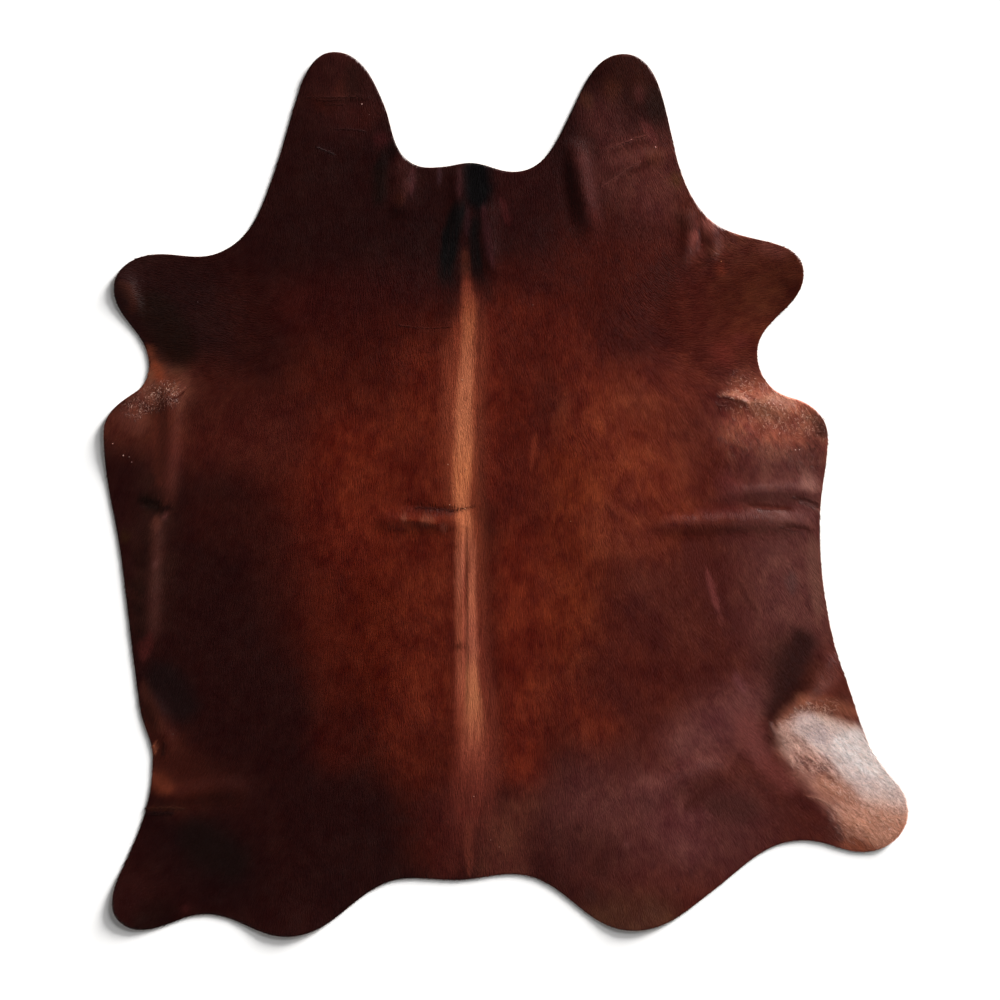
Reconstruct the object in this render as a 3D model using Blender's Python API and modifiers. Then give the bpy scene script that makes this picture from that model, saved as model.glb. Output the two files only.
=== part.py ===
"""A whole cow hide, tanned with its hair on, lying flat on the floor as a rug.

Metres, +Z up. The back line runs along Y with the neck at +Y, and the hide is seen with its hair side up.
The origin is on the floor under the middle of the hide.
"""

import math

import bmesh
import bpy
from mathutils import Vector

# The sheet: leather with the hair that lies flat on it.
LEATHER = 0.0025
HAIR_LAY = 0.0015
SHEET = LEATHER + HAIR_LAY

# How finely the sheet is cut up.
OUTLINE_STEPS = 14      # straight pieces between two landmarks
GRID = 0.060            # squares of the sheet where it lies flat
FOLD_HALVINGS = 2       # times that a square is halved where the sheet is folded
SPLIT_OVER = 0.6        # an edge is halved if it is longer than this share of its square
HANDLE = 0.38           # length of a landmark's curve handles, as a share of the way to the next landmark
TOUCH = 0.00001         # points closer than this are one point

# The trimmed edge, clockwise from the left neck lobe.
# Each landmark has its place and the compass heading of the edge there, in degrees up from +X.
EDGE_COLUMNS = ("landmark", "x", "y", "heading")
EDGE = (
    ("neck left tip", -0.425, 1.105, -3),
    ("neck left inner side", -0.305, 0.975, -67),
    ("neck notch left corner", -0.240, 0.830, -36),
    ("neck notch left floor", -0.155, 0.818, 4),
    ("bump over the back line", -0.085, 0.828, -3),
    ("neck notch right floor", 0.020, 0.805, 0),
    ("neck right inner side", 0.165, 0.958, 64),
    ("neck right tip", 0.298, 1.100, -2),
    ("neck right outer side", 0.400, 0.960, -76),
    ("shoulder right hollow", 0.502, 0.693, -48),
    ("foreleg right tip", 0.745, 0.550, -90),
    ("armpit right hollow", 0.628, 0.352, -90),
    ("belly right step", 0.715, 0.240, -12),
    ("belly right lobe", 0.805, 0.145, -90),
    ("flank right hollow", 0.785, -0.070, -90),
    ("flank right slope", 0.815, -0.350, -78),
    ("hock right upper side", 0.868, -0.515, -73),
    ("hock right outer side", 0.938, -0.675, -55),
    ("hind leg right tip", 1.005, -0.795, -90),
    ("hind leg right heel", 0.895, -0.895, 180),
    ("thigh right hollow", 0.745, -0.865, 180),
    ("rump right slope", 0.520, -0.990, -143),
    ("rump right lobe", 0.318, -1.092, 180),
    ("tail right hollow", 0.025, -0.950, 178),
    ("tail root", -0.125, -0.965, 180),
    ("tail left hollow", -0.240, -0.960, 180),
    ("rump left lobe", -0.547, -1.107, 180),
    ("thigh left hollow", -0.750, -1.050, 180),
    ("hind leg left heel", -0.915, -1.090, 180),
    ("hind leg left tip", -0.984, -1.028, 90),
    ("hind leg left side", -0.943, -0.905, 66),
    ("hock left hollow", -0.882, -0.660, 90),
    ("hock left bulge", -0.914, -0.535, 98),
    ("flank left", -0.958, -0.180, 97),
    ("belly left lobe", -1.005, 0.155, 90),
    ("belly left step", -0.925, 0.255, 32),
    ("armpit left hollow", -0.892, 0.335, 97),
    ("foreleg left tip", -0.980, 0.515, 90),
    ("foreleg left top", -0.890, 0.598, 8),
    ("shoulder left hollow", -0.710, 0.606, 25),
    ("neck left outer side", -0.587, 0.780, 70),
    ("neck left lobe side", -0.527, 0.975, 73),
)

# Folds that a rolled and shipped hide keeps: a soft ridge from one point to another.
# bow is how far its middle swings to its left, reach is half its width, and rise is its height.
FOLD_COLUMNS = ("fold", "x0", "y0", "x1", "y1", "bow", "reach", "rise")
FOLDS = (
    ("neck ridge left", -0.245, 0.815, -0.268, 0.700, 0.004, 0.028, 0.0070),
    ("neck ridge by the mane", -0.118, 0.822, -0.130, 0.640, 0.006, 0.022, 0.0045),
    ("mane ridge right", -0.042, 0.740, -0.030, 0.550, -0.004, 0.024, 0.0050),
    ("neck ridge right", 0.176, 0.890, 0.216, 0.660, -0.008, 0.034, 0.0090),
    ("neck lobe wrinkle right", 0.245, 0.800, 0.410, 0.865, 0.006, 0.026, 0.0045),
    ("shoulder pleat inner", 0.452, 0.720, 0.450, 0.560, 0.006, 0.024, 0.0065),
    ("shoulder pleat outer", 0.508, 0.690, 0.520, 0.570, 0.006, 0.024, 0.0060),
    ("armpit pleat right", 0.520, 0.235, 0.735, 0.205, 0.010, 0.030, 0.0070),
    ("flank ridge upper", 0.540, 0.002, 0.784, 0.012, 0.006, 0.026, 0.0060),
    ("flank ridge lower", 0.360, -0.078, 0.770, -0.068, 0.008, 0.032, 0.0075),
    ("thigh fold right", 0.830, -0.400, 0.655, -0.620, 0.020, 0.050, 0.0110),
    ("rump ridge right", 0.330, -0.770, 0.560, -0.670, 0.010, 0.045, 0.0060),
    ("back crease left", -0.330, -0.062, -0.100, -0.064, -0.004, 0.028, 0.0060),
    ("belly ridge left upper", -0.842, 0.290, -0.862, -0.020, 0.012, 0.034, 0.0085),
    ("belly ridge left lower", -0.872, -0.050, -0.893, -0.380, -0.008, 0.030, 0.0075),
    ("hock ridge left", -0.892, -0.500, -0.845, -0.660, 0.010, 0.026, 0.0065),
    ("thigh ridge left", -0.875, -0.770, -0.640, -0.735, 0.008, 0.034, 0.0060),
    ("foreleg ridge left", -0.958, 0.545, -0.915, 0.420, 0.006, 0.028, 0.0060),
)

# Places along the edge where the dry hide stands a little off the floor.
CURL_COLUMNS = ("curl", "x", "y", "reach", "rise")
CURLS = (
    ("neck left tip", -0.425, 1.130, 0.170, 0.009),
    ("neck right tip", 0.300, 1.130, 0.150, 0.008),
    ("foreleg right tip", 0.780, 0.560, 0.150, 0.010),
    ("foreleg left tip", -1.010, 0.540, 0.140, 0.008),
    ("belly right lobe", 0.840, 0.160, 0.130, 0.007),
    ("belly left lobe", -1.040, 0.150, 0.150, 0.009),
    ("hind leg right tip", 1.030, -0.820, 0.170, 0.011),
    ("hind leg left tip", -1.010, -1.060, 0.160, 0.010),
    ("rump right lobe", 0.320, -1.130, 0.150, 0.007),
    ("rump left lobe", -0.550, -1.145, 0.160, 0.008),
)

HIDE_COLOUR = (0.075, 0.020, 0.012, 1.0)
HIDE_ROUGHNESS = 0.55


def rows(columns, table):
    """Each row of a table as a dictionary of its named columns."""
    return [dict(zip(columns, row)) for row in table]


MARKS = rows(EDGE_COLUMNS, EDGE)
RIDGES = rows(FOLD_COLUMNS, FOLDS)
RAISED_EDGES = rows(CURL_COLUMNS, CURLS)


def clear_scene():
    """Takes away whatever the file already holds."""
    for item in list(bpy.data.objects):
        bpy.data.objects.remove(item, do_unlink=True)


def new_collection(name):
    collection = bpy.data.collections.new(name)
    bpy.context.scene.collection.children.link(collection)
    return collection


def hide_material():
    """Glossy short hair, near black brown."""
    material = bpy.data.materials.new("hair_on_leather")
    material.use_nodes = True
    shader = material.node_tree.nodes["Principled BSDF"]
    shader.inputs["Base Color"].default_value = HIDE_COLOUR
    shader.inputs["Roughness"].default_value = HIDE_ROUGHNESS
    shader.inputs["Metallic"].default_value = 0.0
    return material


def edge_curve():
    """The trimmed edge as a closed flat curve, filled from side to side."""
    curve = bpy.data.curves.new("hide_edge", "CURVE")
    curve.dimensions = "2D"
    curve.fill_mode = "BOTH"
    curve.resolution_u = OUTLINE_STEPS
    spline = curve.splines.new("BEZIER")
    spline.bezier_points.add(len(MARKS) - 1)
    spline.use_cyclic_u = True
    places = [Vector((mark["x"], mark["y"], 0.0)) for mark in MARKS]
    for index, (mark, point) in enumerate(zip(MARKS, spline.bezier_points)):
        heading = math.radians(mark["heading"])
        along = Vector((math.cos(heading), math.sin(heading), 0.0))
        here, before, after = places[index], places[index - 1], places[(index + 1) % len(places)]
        point.handle_left_type = point.handle_right_type = "FREE"
        point.co = here
        point.handle_left = here - along * HANDLE * (here - before).length
        point.handle_right = here + along * HANDLE * (after - here).length
    return curve


def flat_sheet():
    """The hide cut out flat: one face inside the trimmed edge."""
    guide = bpy.data.objects.new("edge_guide", edge_curve())
    bpy.context.scene.collection.objects.link(guide)
    evaluated = guide.evaluated_get(bpy.context.evaluated_depsgraph_get())
    filled = bpy.data.meshes.new_from_object(evaluated)
    bpy.data.objects.remove(guide, do_unlink=True)
    sheet = bmesh.new()
    sheet.from_mesh(filled)
    bpy.data.meshes.remove(filled)
    bmesh.ops.remove_doubles(sheet, verts=sheet.verts, dist=TOUCH)
    inner = [edge for edge in sheet.edges if len(edge.link_faces) == 2]
    bmesh.ops.dissolve_edges(sheet, edges=inner, use_verts=False)
    return sheet


def grid_lines(low, high):
    """Evenly spaced cuts from low to high, one of them through zero."""
    return [number * GRID for number in range(math.ceil(low / GRID), math.floor(high / GRID) + 1)]


def cut_into_squares(sheet):
    """Cuts the flat sheet along a square grid, so that it can bend."""
    xs = [vert.co.x for vert in sheet.verts]
    ys = [vert.co.y for vert in sheet.verts]
    for axis, low, high in ((Vector((1, 0, 0)), min(xs), max(xs)), (Vector((0, 1, 0)), min(ys), max(ys))):
        for place in grid_lines(low, high):
            everything = list(sheet.verts) + list(sheet.edges) + list(sheet.faces)
            bmesh.ops.bisect_plane(sheet, geom=everything, plane_co=axis * place, plane_no=axis, dist=TOUCH)


def fold_height(fold, x, y):
    """Height of one ridge over the point x, y: full along its middle, none past its reach or its ends."""
    run = Vector((fold["x1"] - fold["x0"], fold["y1"] - fold["y0"]))
    offset = Vector((x - fold["x0"], y - fold["y0"]))
    along = min(max(offset.dot(run) / run.length_squared, 0.0), 1.0)
    middle = 2.0 * along - 1.0
    beyond = offset - run * along
    side = Vector((-run.y, run.x)).normalized() * fold["bow"] * (1.0 - middle ** 2)
    away = (beyond - side).length / fold["reach"]
    if away >= 1.0:
        return 0.0
    return fold["rise"] * (1.0 - middle ** 4) * (1.0 - away ** 2) ** 2


def curl_height(curl, x, y):
    """Height of one raised edge over the point x, y."""
    away = math.hypot(x - curl["x"], y - curl["y"]) / curl["reach"]
    if away >= 1.0:
        return 0.0
    return curl["rise"] * (1.0 - away) ** 2 * (1.0 + 2.0 * away)


def lift(x, y):
    """Height of the hide's underside over the floor."""
    ridge = max(fold_height(fold, x, y) for fold in RIDGES)
    return ridge + sum(curl_height(curl, x, y) for curl in RAISED_EDGES)


def near_a_fold(face):
    """True where a face reaches under a ridge."""
    points = [face.calc_center_median()] + [vert.co for vert in face.verts]
    return any(fold_height(fold, point.x, point.y) > 0.0 for fold in RIDGES for point in points)


def refine_folds(sheet):
    """Halves the squares under the ridges."""
    for halving in range(FOLD_HALVINGS):
        longest = GRID / 2 ** halving
        folded = [face for face in sheet.faces if near_a_fold(face)]
        edges = {edge for face in folded for edge in face.edges if edge.calc_length() > SPLIT_OVER * longest}
        bmesh.ops.subdivide_edges(sheet, edges=sorted(edges, key=lambda edge: edge.index), cuts=1,
                                  use_grid_fill=True)
        sheet.edges.index_update()


def raise_folds(sheet):
    """Lifts the sheet off the floor where it is folded or curled."""
    for vert in sheet.verts:
        vert.co.z = lift(vert.co.x, vert.co.y)


def make_hide(collection):
    """The hide: one cut sheet, folded, then given its thickness upwards from the floor."""
    sheet = flat_sheet()
    cut_into_squares(sheet)
    sheet.edges.index_update()
    refine_folds(sheet)
    bmesh.ops.triangulate(sheet, faces=sheet.faces)
    bmesh.ops.recalc_face_normals(sheet, faces=sheet.faces)
    if sum(face.normal.z * face.calc_area() for face in sheet.faces) < 0.0:
        bmesh.ops.reverse_faces(sheet, faces=sheet.faces)
    raise_folds(sheet)
    mesh = bpy.data.meshes.new("hide")
    sheet.to_mesh(mesh)
    sheet.free()
    mesh.materials.append(hide_material())
    hide = bpy.data.objects.new("hide", mesh)
    collection.objects.link(hide)
    thickness = hide.modifiers.new("leather_and_hair", "SOLIDIFY")
    thickness.thickness = SHEET
    thickness.offset = 1.0
    thickness.use_even_offset = True
    mesh.shade_smooth()
    return hide


def main():
    clear_scene()
    make_hide(new_collection("leather_hide"))


main()
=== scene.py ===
# %% [markdown]
# # A hair-on cow hide, laid flat as a rug
#
# The real object is one piece: a whole cow skin, tanned with its hair left on, trimmed to a smooth
# outline and laid on the floor with the suede side down. There is no lining and no hem.
# The solid model of it comes first, as a fixed frame. This script then dresses that solid: a fine
# leather sheet on the same folds, the coat of short hair that lies on it, and the coat's colours.

# %% The frame
import math

import bmesh
import bpy
import numpy as np
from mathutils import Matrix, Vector
from mathutils.bvhtree import BVHTree
from mathutils.geometry import delaunay_2d_cdt
from mathutils.kdtree import KDTree


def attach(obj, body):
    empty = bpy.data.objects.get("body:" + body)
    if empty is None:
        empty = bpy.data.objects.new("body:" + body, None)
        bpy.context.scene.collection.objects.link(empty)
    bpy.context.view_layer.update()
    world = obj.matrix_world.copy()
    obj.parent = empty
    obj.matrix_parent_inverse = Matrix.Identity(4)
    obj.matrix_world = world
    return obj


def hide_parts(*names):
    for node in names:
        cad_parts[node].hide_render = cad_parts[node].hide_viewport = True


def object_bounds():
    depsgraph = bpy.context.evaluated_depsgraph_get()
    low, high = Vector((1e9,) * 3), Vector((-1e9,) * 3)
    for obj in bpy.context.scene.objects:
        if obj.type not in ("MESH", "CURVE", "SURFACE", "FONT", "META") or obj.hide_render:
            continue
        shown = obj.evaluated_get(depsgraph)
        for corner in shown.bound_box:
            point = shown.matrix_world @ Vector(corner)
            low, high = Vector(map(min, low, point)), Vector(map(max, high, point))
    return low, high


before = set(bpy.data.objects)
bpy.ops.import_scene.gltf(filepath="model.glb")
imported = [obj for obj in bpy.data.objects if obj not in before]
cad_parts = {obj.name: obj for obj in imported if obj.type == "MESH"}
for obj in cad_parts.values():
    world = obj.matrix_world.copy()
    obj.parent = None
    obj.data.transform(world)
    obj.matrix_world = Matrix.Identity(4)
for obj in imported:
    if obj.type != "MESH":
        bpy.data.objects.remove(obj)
CAD_BOX = [list(corner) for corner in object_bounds()]
NODE = "hide"
BODY = "root"
LOW, HIGH = (Vector(corner) for corner in CAD_BOX)
print("hide:", [round(high - low, 3) for low, high in zip(LOW, HIGH)], "m")

# %% [markdown]
# ## Tables
#
# Places and sizes stand in short tables, in millimetres, as on a cutting plan. Their columns are
# named, so that a row can be read and changed by hand. The code itself works in metres.

# %% Tables
LENGTHS = {"x", "y", "x0", "y0", "x1", "y1", "bow", "core", "fade", "reach", "rise", "radius",
           "size", "long"}


def rows(columns, table):
    """Each row of a table as a dictionary of its named columns, with the lengths in metres."""
    return [{name: value / 1000.0 if name in LENGTHS else value
             for name, value in zip(columns, row)} for row in table]


print("a row is read as", rows(("place", "x"), (("right edge", 1005),))[0])

# %% [markdown]
# ## The studio
#
# A pale floor and three far lamps. The key lamp stands out beyond the neck on the right, a low one
# beside it rakes over the hide, and a weak fill shines from the far corner. The low lamp lights
# each fold's near side and leaves its other side dark, and it throws the short soft shadow at the
# hide's left and lower edge. The sky is light near the horizon and dark overhead, so that glossy
# dark hair seen from above stays dark.

# %% Floor, camera and lamps
FLOOR_SIDE = 40.0
FLOOR_GAP = 0.0005       # from the floor up to the hide
VIEW_WIDTH = 2.5         # metres that the camera sees across the floor
VIEW_CENTRE = Vector((-0.0144, -0.0150, 0.0))
CAMERA_HEIGHT = 14.0
CAMERA_SIGHT = 100.0
SENSOR = 36.0
LAMP_DISTANCE = 6.0
LAMP_COLUMNS = ("lamp", "towards", "height", "spread", "strength", "red", "green", "blue")
LAMPS = (
    ("key", 42.0, 36.0, 24.0, 1.36, 1.0, 0.985, 0.97),
    ("low key", 46.0, 12.0, 19.0, 12.5, 1.0, 0.985, 0.97),
    ("fill", 225.0, 50.0, 40.0, 0.25, 0.96, 0.98, 1.0),
)


def make_floor():
    bpy.ops.object.select_all(action="DESELECT")
    bpy.ops.mesh.primitive_plane_add(size=FLOOR_SIDE, location=(0, 0, LOW.z - FLOOR_GAP))
    floor = bpy.context.active_object
    floor.name = "floor"
    return floor


def make_camera():
    data = bpy.data.cameras.new("camera")
    data.sensor_width = SENSOR
    data.lens = SENSOR * CAMERA_HEIGHT / VIEW_WIDTH
    data.clip_end = CAMERA_SIGHT
    camera = bpy.data.objects.new("camera", data)
    camera.location = VIEW_CENTRE + Vector((0, 0, CAMERA_HEIGHT))
    bpy.context.scene.collection.objects.link(camera)
    bpy.context.scene.camera = camera


def make_lamp(lamp):
    """A far lamp, with its compass angle from +X, its height over the horizon and its spread."""
    data = bpy.data.lights.new(lamp["lamp"], "SUN")
    data.angle = math.radians(lamp["spread"])
    data.energy = lamp["strength"]
    data.color = (lamp["red"], lamp["green"], lamp["blue"])
    thing = bpy.data.objects.new(lamp["lamp"], data)
    turn, height = math.radians(lamp["towards"]), math.radians(lamp["height"])
    flat = math.cos(height)
    towards = Vector((math.cos(turn) * flat, math.sin(turn) * flat, math.sin(height)))
    thing.location = towards * LAMP_DISTANCE
    thing.rotation_euler = towards.to_track_quat("Z", "Y").to_euler()
    bpy.context.scene.collection.objects.link(thing)


floor = make_floor()
make_camera()
for lamp in rows(LAMP_COLUMNS, LAMPS):
    make_lamp(lamp)
bpy.context.scene.view_settings.view_transform = "Standard"
print("camera looks down from", CAMERA_HEIGHT, "m on", VIEW_WIDTH, "m of floor")

# %% [markdown]
# ## Writing shader maths
#
# A material here is written as an expression. The class wraps one socket and turns + and * into
# Math nodes, and one method makes any other node from its type, its settings and the values or
# links of its sockets.

# %% A wrapped socket


class Dye:
    """One output socket of a node tree, with arithmetic."""

    def __init__(self, tree, socket=None):
        self.tree, self.socket = tree, socket

    def node(self, kind, settings=None, output=0, **inputs):
        """A node of this kind. Its sockets are named with _ for a space, or in0, in1 by place."""
        made = self.tree.nodes.new(kind)
        for name, value in (settings or {}).items():
            setattr(made, name, value)
        for name, value in inputs.items():
            by_place = name[:2] == "in" and name[2:].isdigit()
            socket = made.inputs[int(name[2:]) if by_place else name.replace("_", " ")]
            if isinstance(value, Dye):
                self.tree.links.new(value.socket, socket)
            else:
                socket.default_value = value
        return Dye(self.tree, made.outputs[output])

    def maths(self, operation, first, second):
        return self.node("ShaderNodeMath", {"operation": operation}, in0=first, in1=second)

    def __add__(self, other):
        return self.maths("ADD", self, other)

    __radd__ = __add__

    def __mul__(self, other):
        return self.maths("MULTIPLY", self, other)

    __rmul__ = __mul__

    def scaled(self, factor):
        """This colour or vector times a number that may vary over the surface."""
        return self.node("ShaderNodeVectorMath", {"operation": "SCALE"}, in0=self, Scale=factor)

    def noise(self, detail, **inputs):
        """Grey noise read at this place, from 0 to 1."""
        return self.node("ShaderNodeTexNoise", {}, Vector=self, Detail=detail, **inputs)

    def swung(self, middle, swing):
        """This grey, from 0 to 1, spread evenly round a middle value."""
        return middle - 0.5 * swing + swing * self

    def bumped(self, strength, depth):
        """This grey as a bump of the surface."""
        return self.node("ShaderNodeBump", Strength=strength, Distance=depth, Height=self)


def new_material(name, **constants):
    """A material, its Principled shader with these constants, and a start for its expressions."""
    material = bpy.data.materials.new(name)
    material.use_nodes = True
    shader = material.node_tree.nodes["Principled BSDF"]
    for socket, value in constants.items():
        shader.inputs[socket.replace("_", " ")].default_value = value
    return material, shader, Dye(material.node_tree)


def feed(shader, socket, value):
    value.tree.links.new(value.socket, shader.inputs[socket])


# %% [markdown]
# ## Sky and floor finish
#
# The sky's brightness depends only on height over the horizon. The floor is plain matt paint.

# %% Sky and floor finish
SKY_HORIZON = 0.9
SKY_OVERHEAD = 0.02
SKY_DARK_FROM = 0.6      # height on a sphere of radius 1
WHITE = (1.0, 1.0, 1.0, 1.0)
FLOOR_PAINT = (0.90, 0.90, 0.90, 1.0)


def make_sky():
    world = bpy.data.worlds.new("studio")
    world.use_nodes = True
    bpy.context.scene.world = world
    start = Dye(world.node_tree)
    place = start.node("ShaderNodeTexCoord")
    height = start.node("ShaderNodeSeparateXYZ", output=2, Vector=place)
    strength = start.node(
        "ShaderNodeMapRange", {"interpolation_type": "SMOOTHSTEP"}, Value=height, From_Min=0.0,
        From_Max=SKY_DARK_FROM, To_Min=SKY_HORIZON, To_Max=SKY_OVERHEAD)
    background = world.node_tree.nodes["Background"]
    background.inputs["Color"].default_value = WHITE
    feed(background, "Strength", strength)


def paint_floor():
    material, shader, _ = new_material("floor_paint", Roughness=0.95, Specular_IOR_Level=0.1)
    shader.inputs["Base Color"].default_value = FLOOR_PAINT
    floor.data.materials.append(material)


make_sky()
paint_floor()
print("sky from", SKY_HORIZON, "at the horizon to", SKY_OVERHEAD, "overhead")

# %% [markdown]
# ## The lie of the hide
#
# A hide that was rolled for shipping keeps soft folds. The main ones are already in the solid, so
# its underside is felt with rays on a grid, and the readings are smoothed a little.

# %% The solid's underside
MERGE = 0.00001
FACING_DOWN = -0.5       # a face looks down where its normal's z is below this
GRID = 0.008             # spacing of the readings
GRID_MARGIN = 0.04
SMOOTHINGS = 2


def smoothed(values, axis):
    """Each value averaged with its two neighbours."""
    return 0.5 * values + 0.25 * (np.roll(values, 1, axis=axis) + np.roll(values, -1, axis=axis))


def merged_underside():
    """The underside of the solid, with its loose triangles joined."""
    mesh = bmesh.new()
    mesh.from_mesh(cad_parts[NODE].data)
    bmesh.ops.remove_doubles(mesh, verts=mesh.verts, dist=MERGE)
    mesh.normal_update()
    upper = [face for face in mesh.faces if face.normal.z > FACING_DOWN]
    bmesh.ops.delete(mesh, geom=upper, context="FACES")
    return mesh


def underside_readings(tree):
    """Where the grid starts, and heights of the underside over the floor on it."""
    xs = np.arange(LOW.x - GRID_MARGIN, HIGH.x + GRID_MARGIN, GRID)
    ys = np.arange(LOW.y - GRID_MARGIN, HIGH.y + GRID_MARGIN, GRID)
    heights = np.zeros((len(ys), len(xs)))
    up = Vector((0, 0, 1))
    for row, y in enumerate(ys):
        for column, x in enumerate(xs):
            hit = tree.ray_cast(Vector((x, y, -1.0)), up)[0]
            if hit is None:
                hit = tree.find_nearest(Vector((x, y, 0.0)))[0]
            heights[row, column] = hit.z
    for _ in range(SMOOTHINGS):
        heights = smoothed(smoothed(heights, 0), 1)
    return xs[0], ys[0], np.maximum(heights - LOW.z, 0.0)


underside = merged_underside()
GRID_X, GRID_Y, READINGS = underside_readings(BVHTree.FromBMesh(underside))
print("underside:", READINGS.size, "readings, highest", round(READINGS.max() * 1000, 1), "mm")

# %% [markdown]
# ### Distance from a line
#
# Folds, creases and strokes of colour all follow lines, straight or bowed. Whatever varies over the
# hide is worked out for all points at once, so this helper, like the others, takes whole arrays.

# %% Distance from a line
SHORTEST = 1e-6          # keeps a line of no length from dividing by zero


def run_of(line):
    """The way from a line's start to its end."""
    return np.array([line["x1"] - line["x0"], line["y1"] - line["y0"]])


def from_line(x, y, line):
    """How far along a line each point lies, from 0 to 1, and its distance from the line.

    The line's middle may be bowed to its left.
    """
    run = run_of(line)
    dx, dy = x - line["x0"], y - line["y0"]
    along = np.clip((dx * run[0] + dy * run[1]) / max(run @ run, SHORTEST ** 2), 0.0, 1.0)
    bow = line.get("bow", 0.0) * (1.0 - (2.0 * along - 1.0) ** 2) / max(math.hypot(*run), SHORTEST)
    return along, np.hypot(dx - run[0] * along + run[1] * bow, dy - run[1] * along - run[0] * bow)


middle = from_line(0.0, 0.0, {"x0": -1.0, "y0": 1.0, "x1": 1.0, "y1": 1.0})
print("the origin lies at", float(middle[0]), "of a line that passes", float(middle[1]), "m away")

# %% [markdown]
# ### Creases
#
# Finer creases are added one by one, each with its own place, width and height. A crease may also
# be a furrow, where the pile parts and lies lower.

# %% Creases
CREASE_COLUMNS = ("crease", "x0", "y0", "x1", "y1", "bow", "reach", "rise")
CREASES = (
    ("lobe wrinkle left", -460, 985, -330, 995, 4, 10, 1),
    ("lobe wrinkle right upper", 230, 855, 358, 895, 3, 10, 1.2),
    ("lobe wrinkle right lower", 258, 792, 415, 860, 3, 10, 0.9),
    ("neck furrow right", 150, 870, 158, 665, -6, 22, -1),
    ("neck furrow left", -290, 872, -300, 740, 4, 20, -1.4),
    ("knot crease left", -265, -22, -105, -40, 2, 9, -1.6),
    ("knot ridge left", -265, -62, -160, -78, 2, 10, 1.6),
    ("back line furrow", -102, -45, -100, -560, 0, 9, -1.4),
    ("armpit crease right", 482, 692, 484, 590, 2, 10, -1.8),
    ("belly step ridge right", 538, 248, 612, 225, 4, 10, 2.6),
    ("flank crease right upper", 720, -10, 790, -36, 4, 9, -1.4),
    ("flank crease right middle", 595, -28, 715, -38, 3, 10, -1.4),
    ("flank crease right lower", 690, -80, 762, -92, 3, 10, -1.4),
    ("belly crease left", -915, -25, -860, -28, 2, 10, -1.8),
)
LEATHER = 0.0030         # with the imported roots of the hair
FURROW_FLOOR = -0.0012   # a furrow may lower the hair side this far
JUST_SHORT = 1.001       # a reading is looked up just short of the grid's end


def blended(read, column, row, s, t):
    """What a grid holds between four of its places, s of the way across and t of the way up."""
    near = read(column, row) * (1 - s) + read(column + 1, row) * s
    far = read(column, row + 1) * (1 - s) + read(column + 1, row + 1) * s
    return near * (1 - t) + far * t


def solid_height(x, y):
    """Height of the solid's underside, between its readings."""
    u = np.clip((x - GRID_X) / GRID, 0.0, READINGS.shape[1] - JUST_SHORT)
    v = np.clip((y - GRID_Y) / GRID, 0.0, READINGS.shape[0] - JUST_SHORT)
    column, row = u.astype(int), v.astype(int)
    return blended(lambda i, j: READINGS[j, i], column, row, u - column, v - row)


def relief(x, y):
    """Height of the hide over the floor, folds and creases together."""
    height = solid_height(x, y)
    for crease in rows(CREASE_COLUMNS, CREASES):
        along, distance = from_line(x, y, crease)
        across = np.clip(1.0 - (distance / crease["reach"]) ** 2, 0.0, 1.0) ** 2
        height += crease["rise"] * across * (1.0 - (2.0 * along - 1.0) ** 4)
    return height


def floor_side(x, y):
    return np.maximum(relief(x, y), 0.0) + LOW.z


def hair_side(x, y):
    return np.maximum(relief(x, y), FURROW_FLOOR) + LEATHER + LOW.z


print(len(CREASES), "creases")

# %% [markdown]
# ## The leather sheet
#
# The trimmed edge is walked round on the solid. The inside is filled with evenly spaced points,
# and a constrained Delaunay triangulation joins them, which gives small even triangles right up to
# the edge. The hair side gets a fine net, because it carries the creases. The floor side is plain
# suede and gets a coarse one. Both use the same points along the edge, so a strip of faces closes
# the cut edge between them.

# %% The trimmed edge
EDGE_STEP = 0.006        # spacing of points along the edge
EDGE_SOFTENING = 5       # times that each point is averaged with its neighbours


def walk_round(mesh):
    """The places along the open edge, in order."""
    rim = {edge for edge in mesh.edges if edge.is_boundary}
    edge = min(rim, key=lambda e: (e.verts[0].co.y, e.verts[0].co.x))
    start = vert = edge.verts[0]
    places = []
    while True:
        places.append((vert.co.x, vert.co.y))
        vert = edge.other_vert(vert)
        rim.discard(edge)
        if vert is start:
            return np.array(places)
        edge = next(e for e in vert.link_edges if e in rim)


def even_steps(places, step):
    """The same closed line anticlockwise, with even steps and softened corners."""
    closed = np.vstack([places, places[:1]])
    turn = (closed[:-1, 0] * closed[1:, 1] - closed[1:, 0] * closed[:-1, 1]).sum()
    if turn < 0:
        closed = closed[::-1]
    steps = np.linalg.norm(np.diff(closed, axis=0), axis=1)
    along = np.concatenate([[0.0], np.cumsum(steps)])
    marks = np.linspace(0.0, along[-1], int(along[-1] / step), endpoint=False)
    line = np.stack([np.interp(marks, along, closed[:, axis]) for axis in (0, 1)], axis=1)
    for _ in range(EDGE_SOFTENING):
        line = smoothed(line, 0)
    return line


edge_line = even_steps(walk_round(underside), EDGE_STEP)
underside.free()
EDGE_TREE = KDTree(len(edge_line))
for number, (x, y) in enumerate(edge_line):
    EDGE_TREE.insert((x, y, 0.0), number)
EDGE_TREE.balance()
print("edge:", len(edge_line), "points,", round(len(edge_line) * EDGE_STEP, 2), "m round")

# %% The two nets
HAIR_STEP = 0.0070       # size of the triangles on the hair side
SUEDE_STEP = 0.0240      # and on the floor side
CLEAR_OF_EDGE = 0.6      # of a step


def crossings(y):
    """Where the edge crosses a level line, from left to right."""
    after = np.roll(edge_line, -1, axis=0)
    cut = (edge_line[:, 1] <= y) != (after[:, 1] <= y)
    share = (y - edge_line[cut, 1]) / (after[cut, 1] - edge_line[cut, 1])
    return np.sort(edge_line[cut, 0] + share * (after[cut, 0] - edge_line[cut, 0]))


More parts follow.
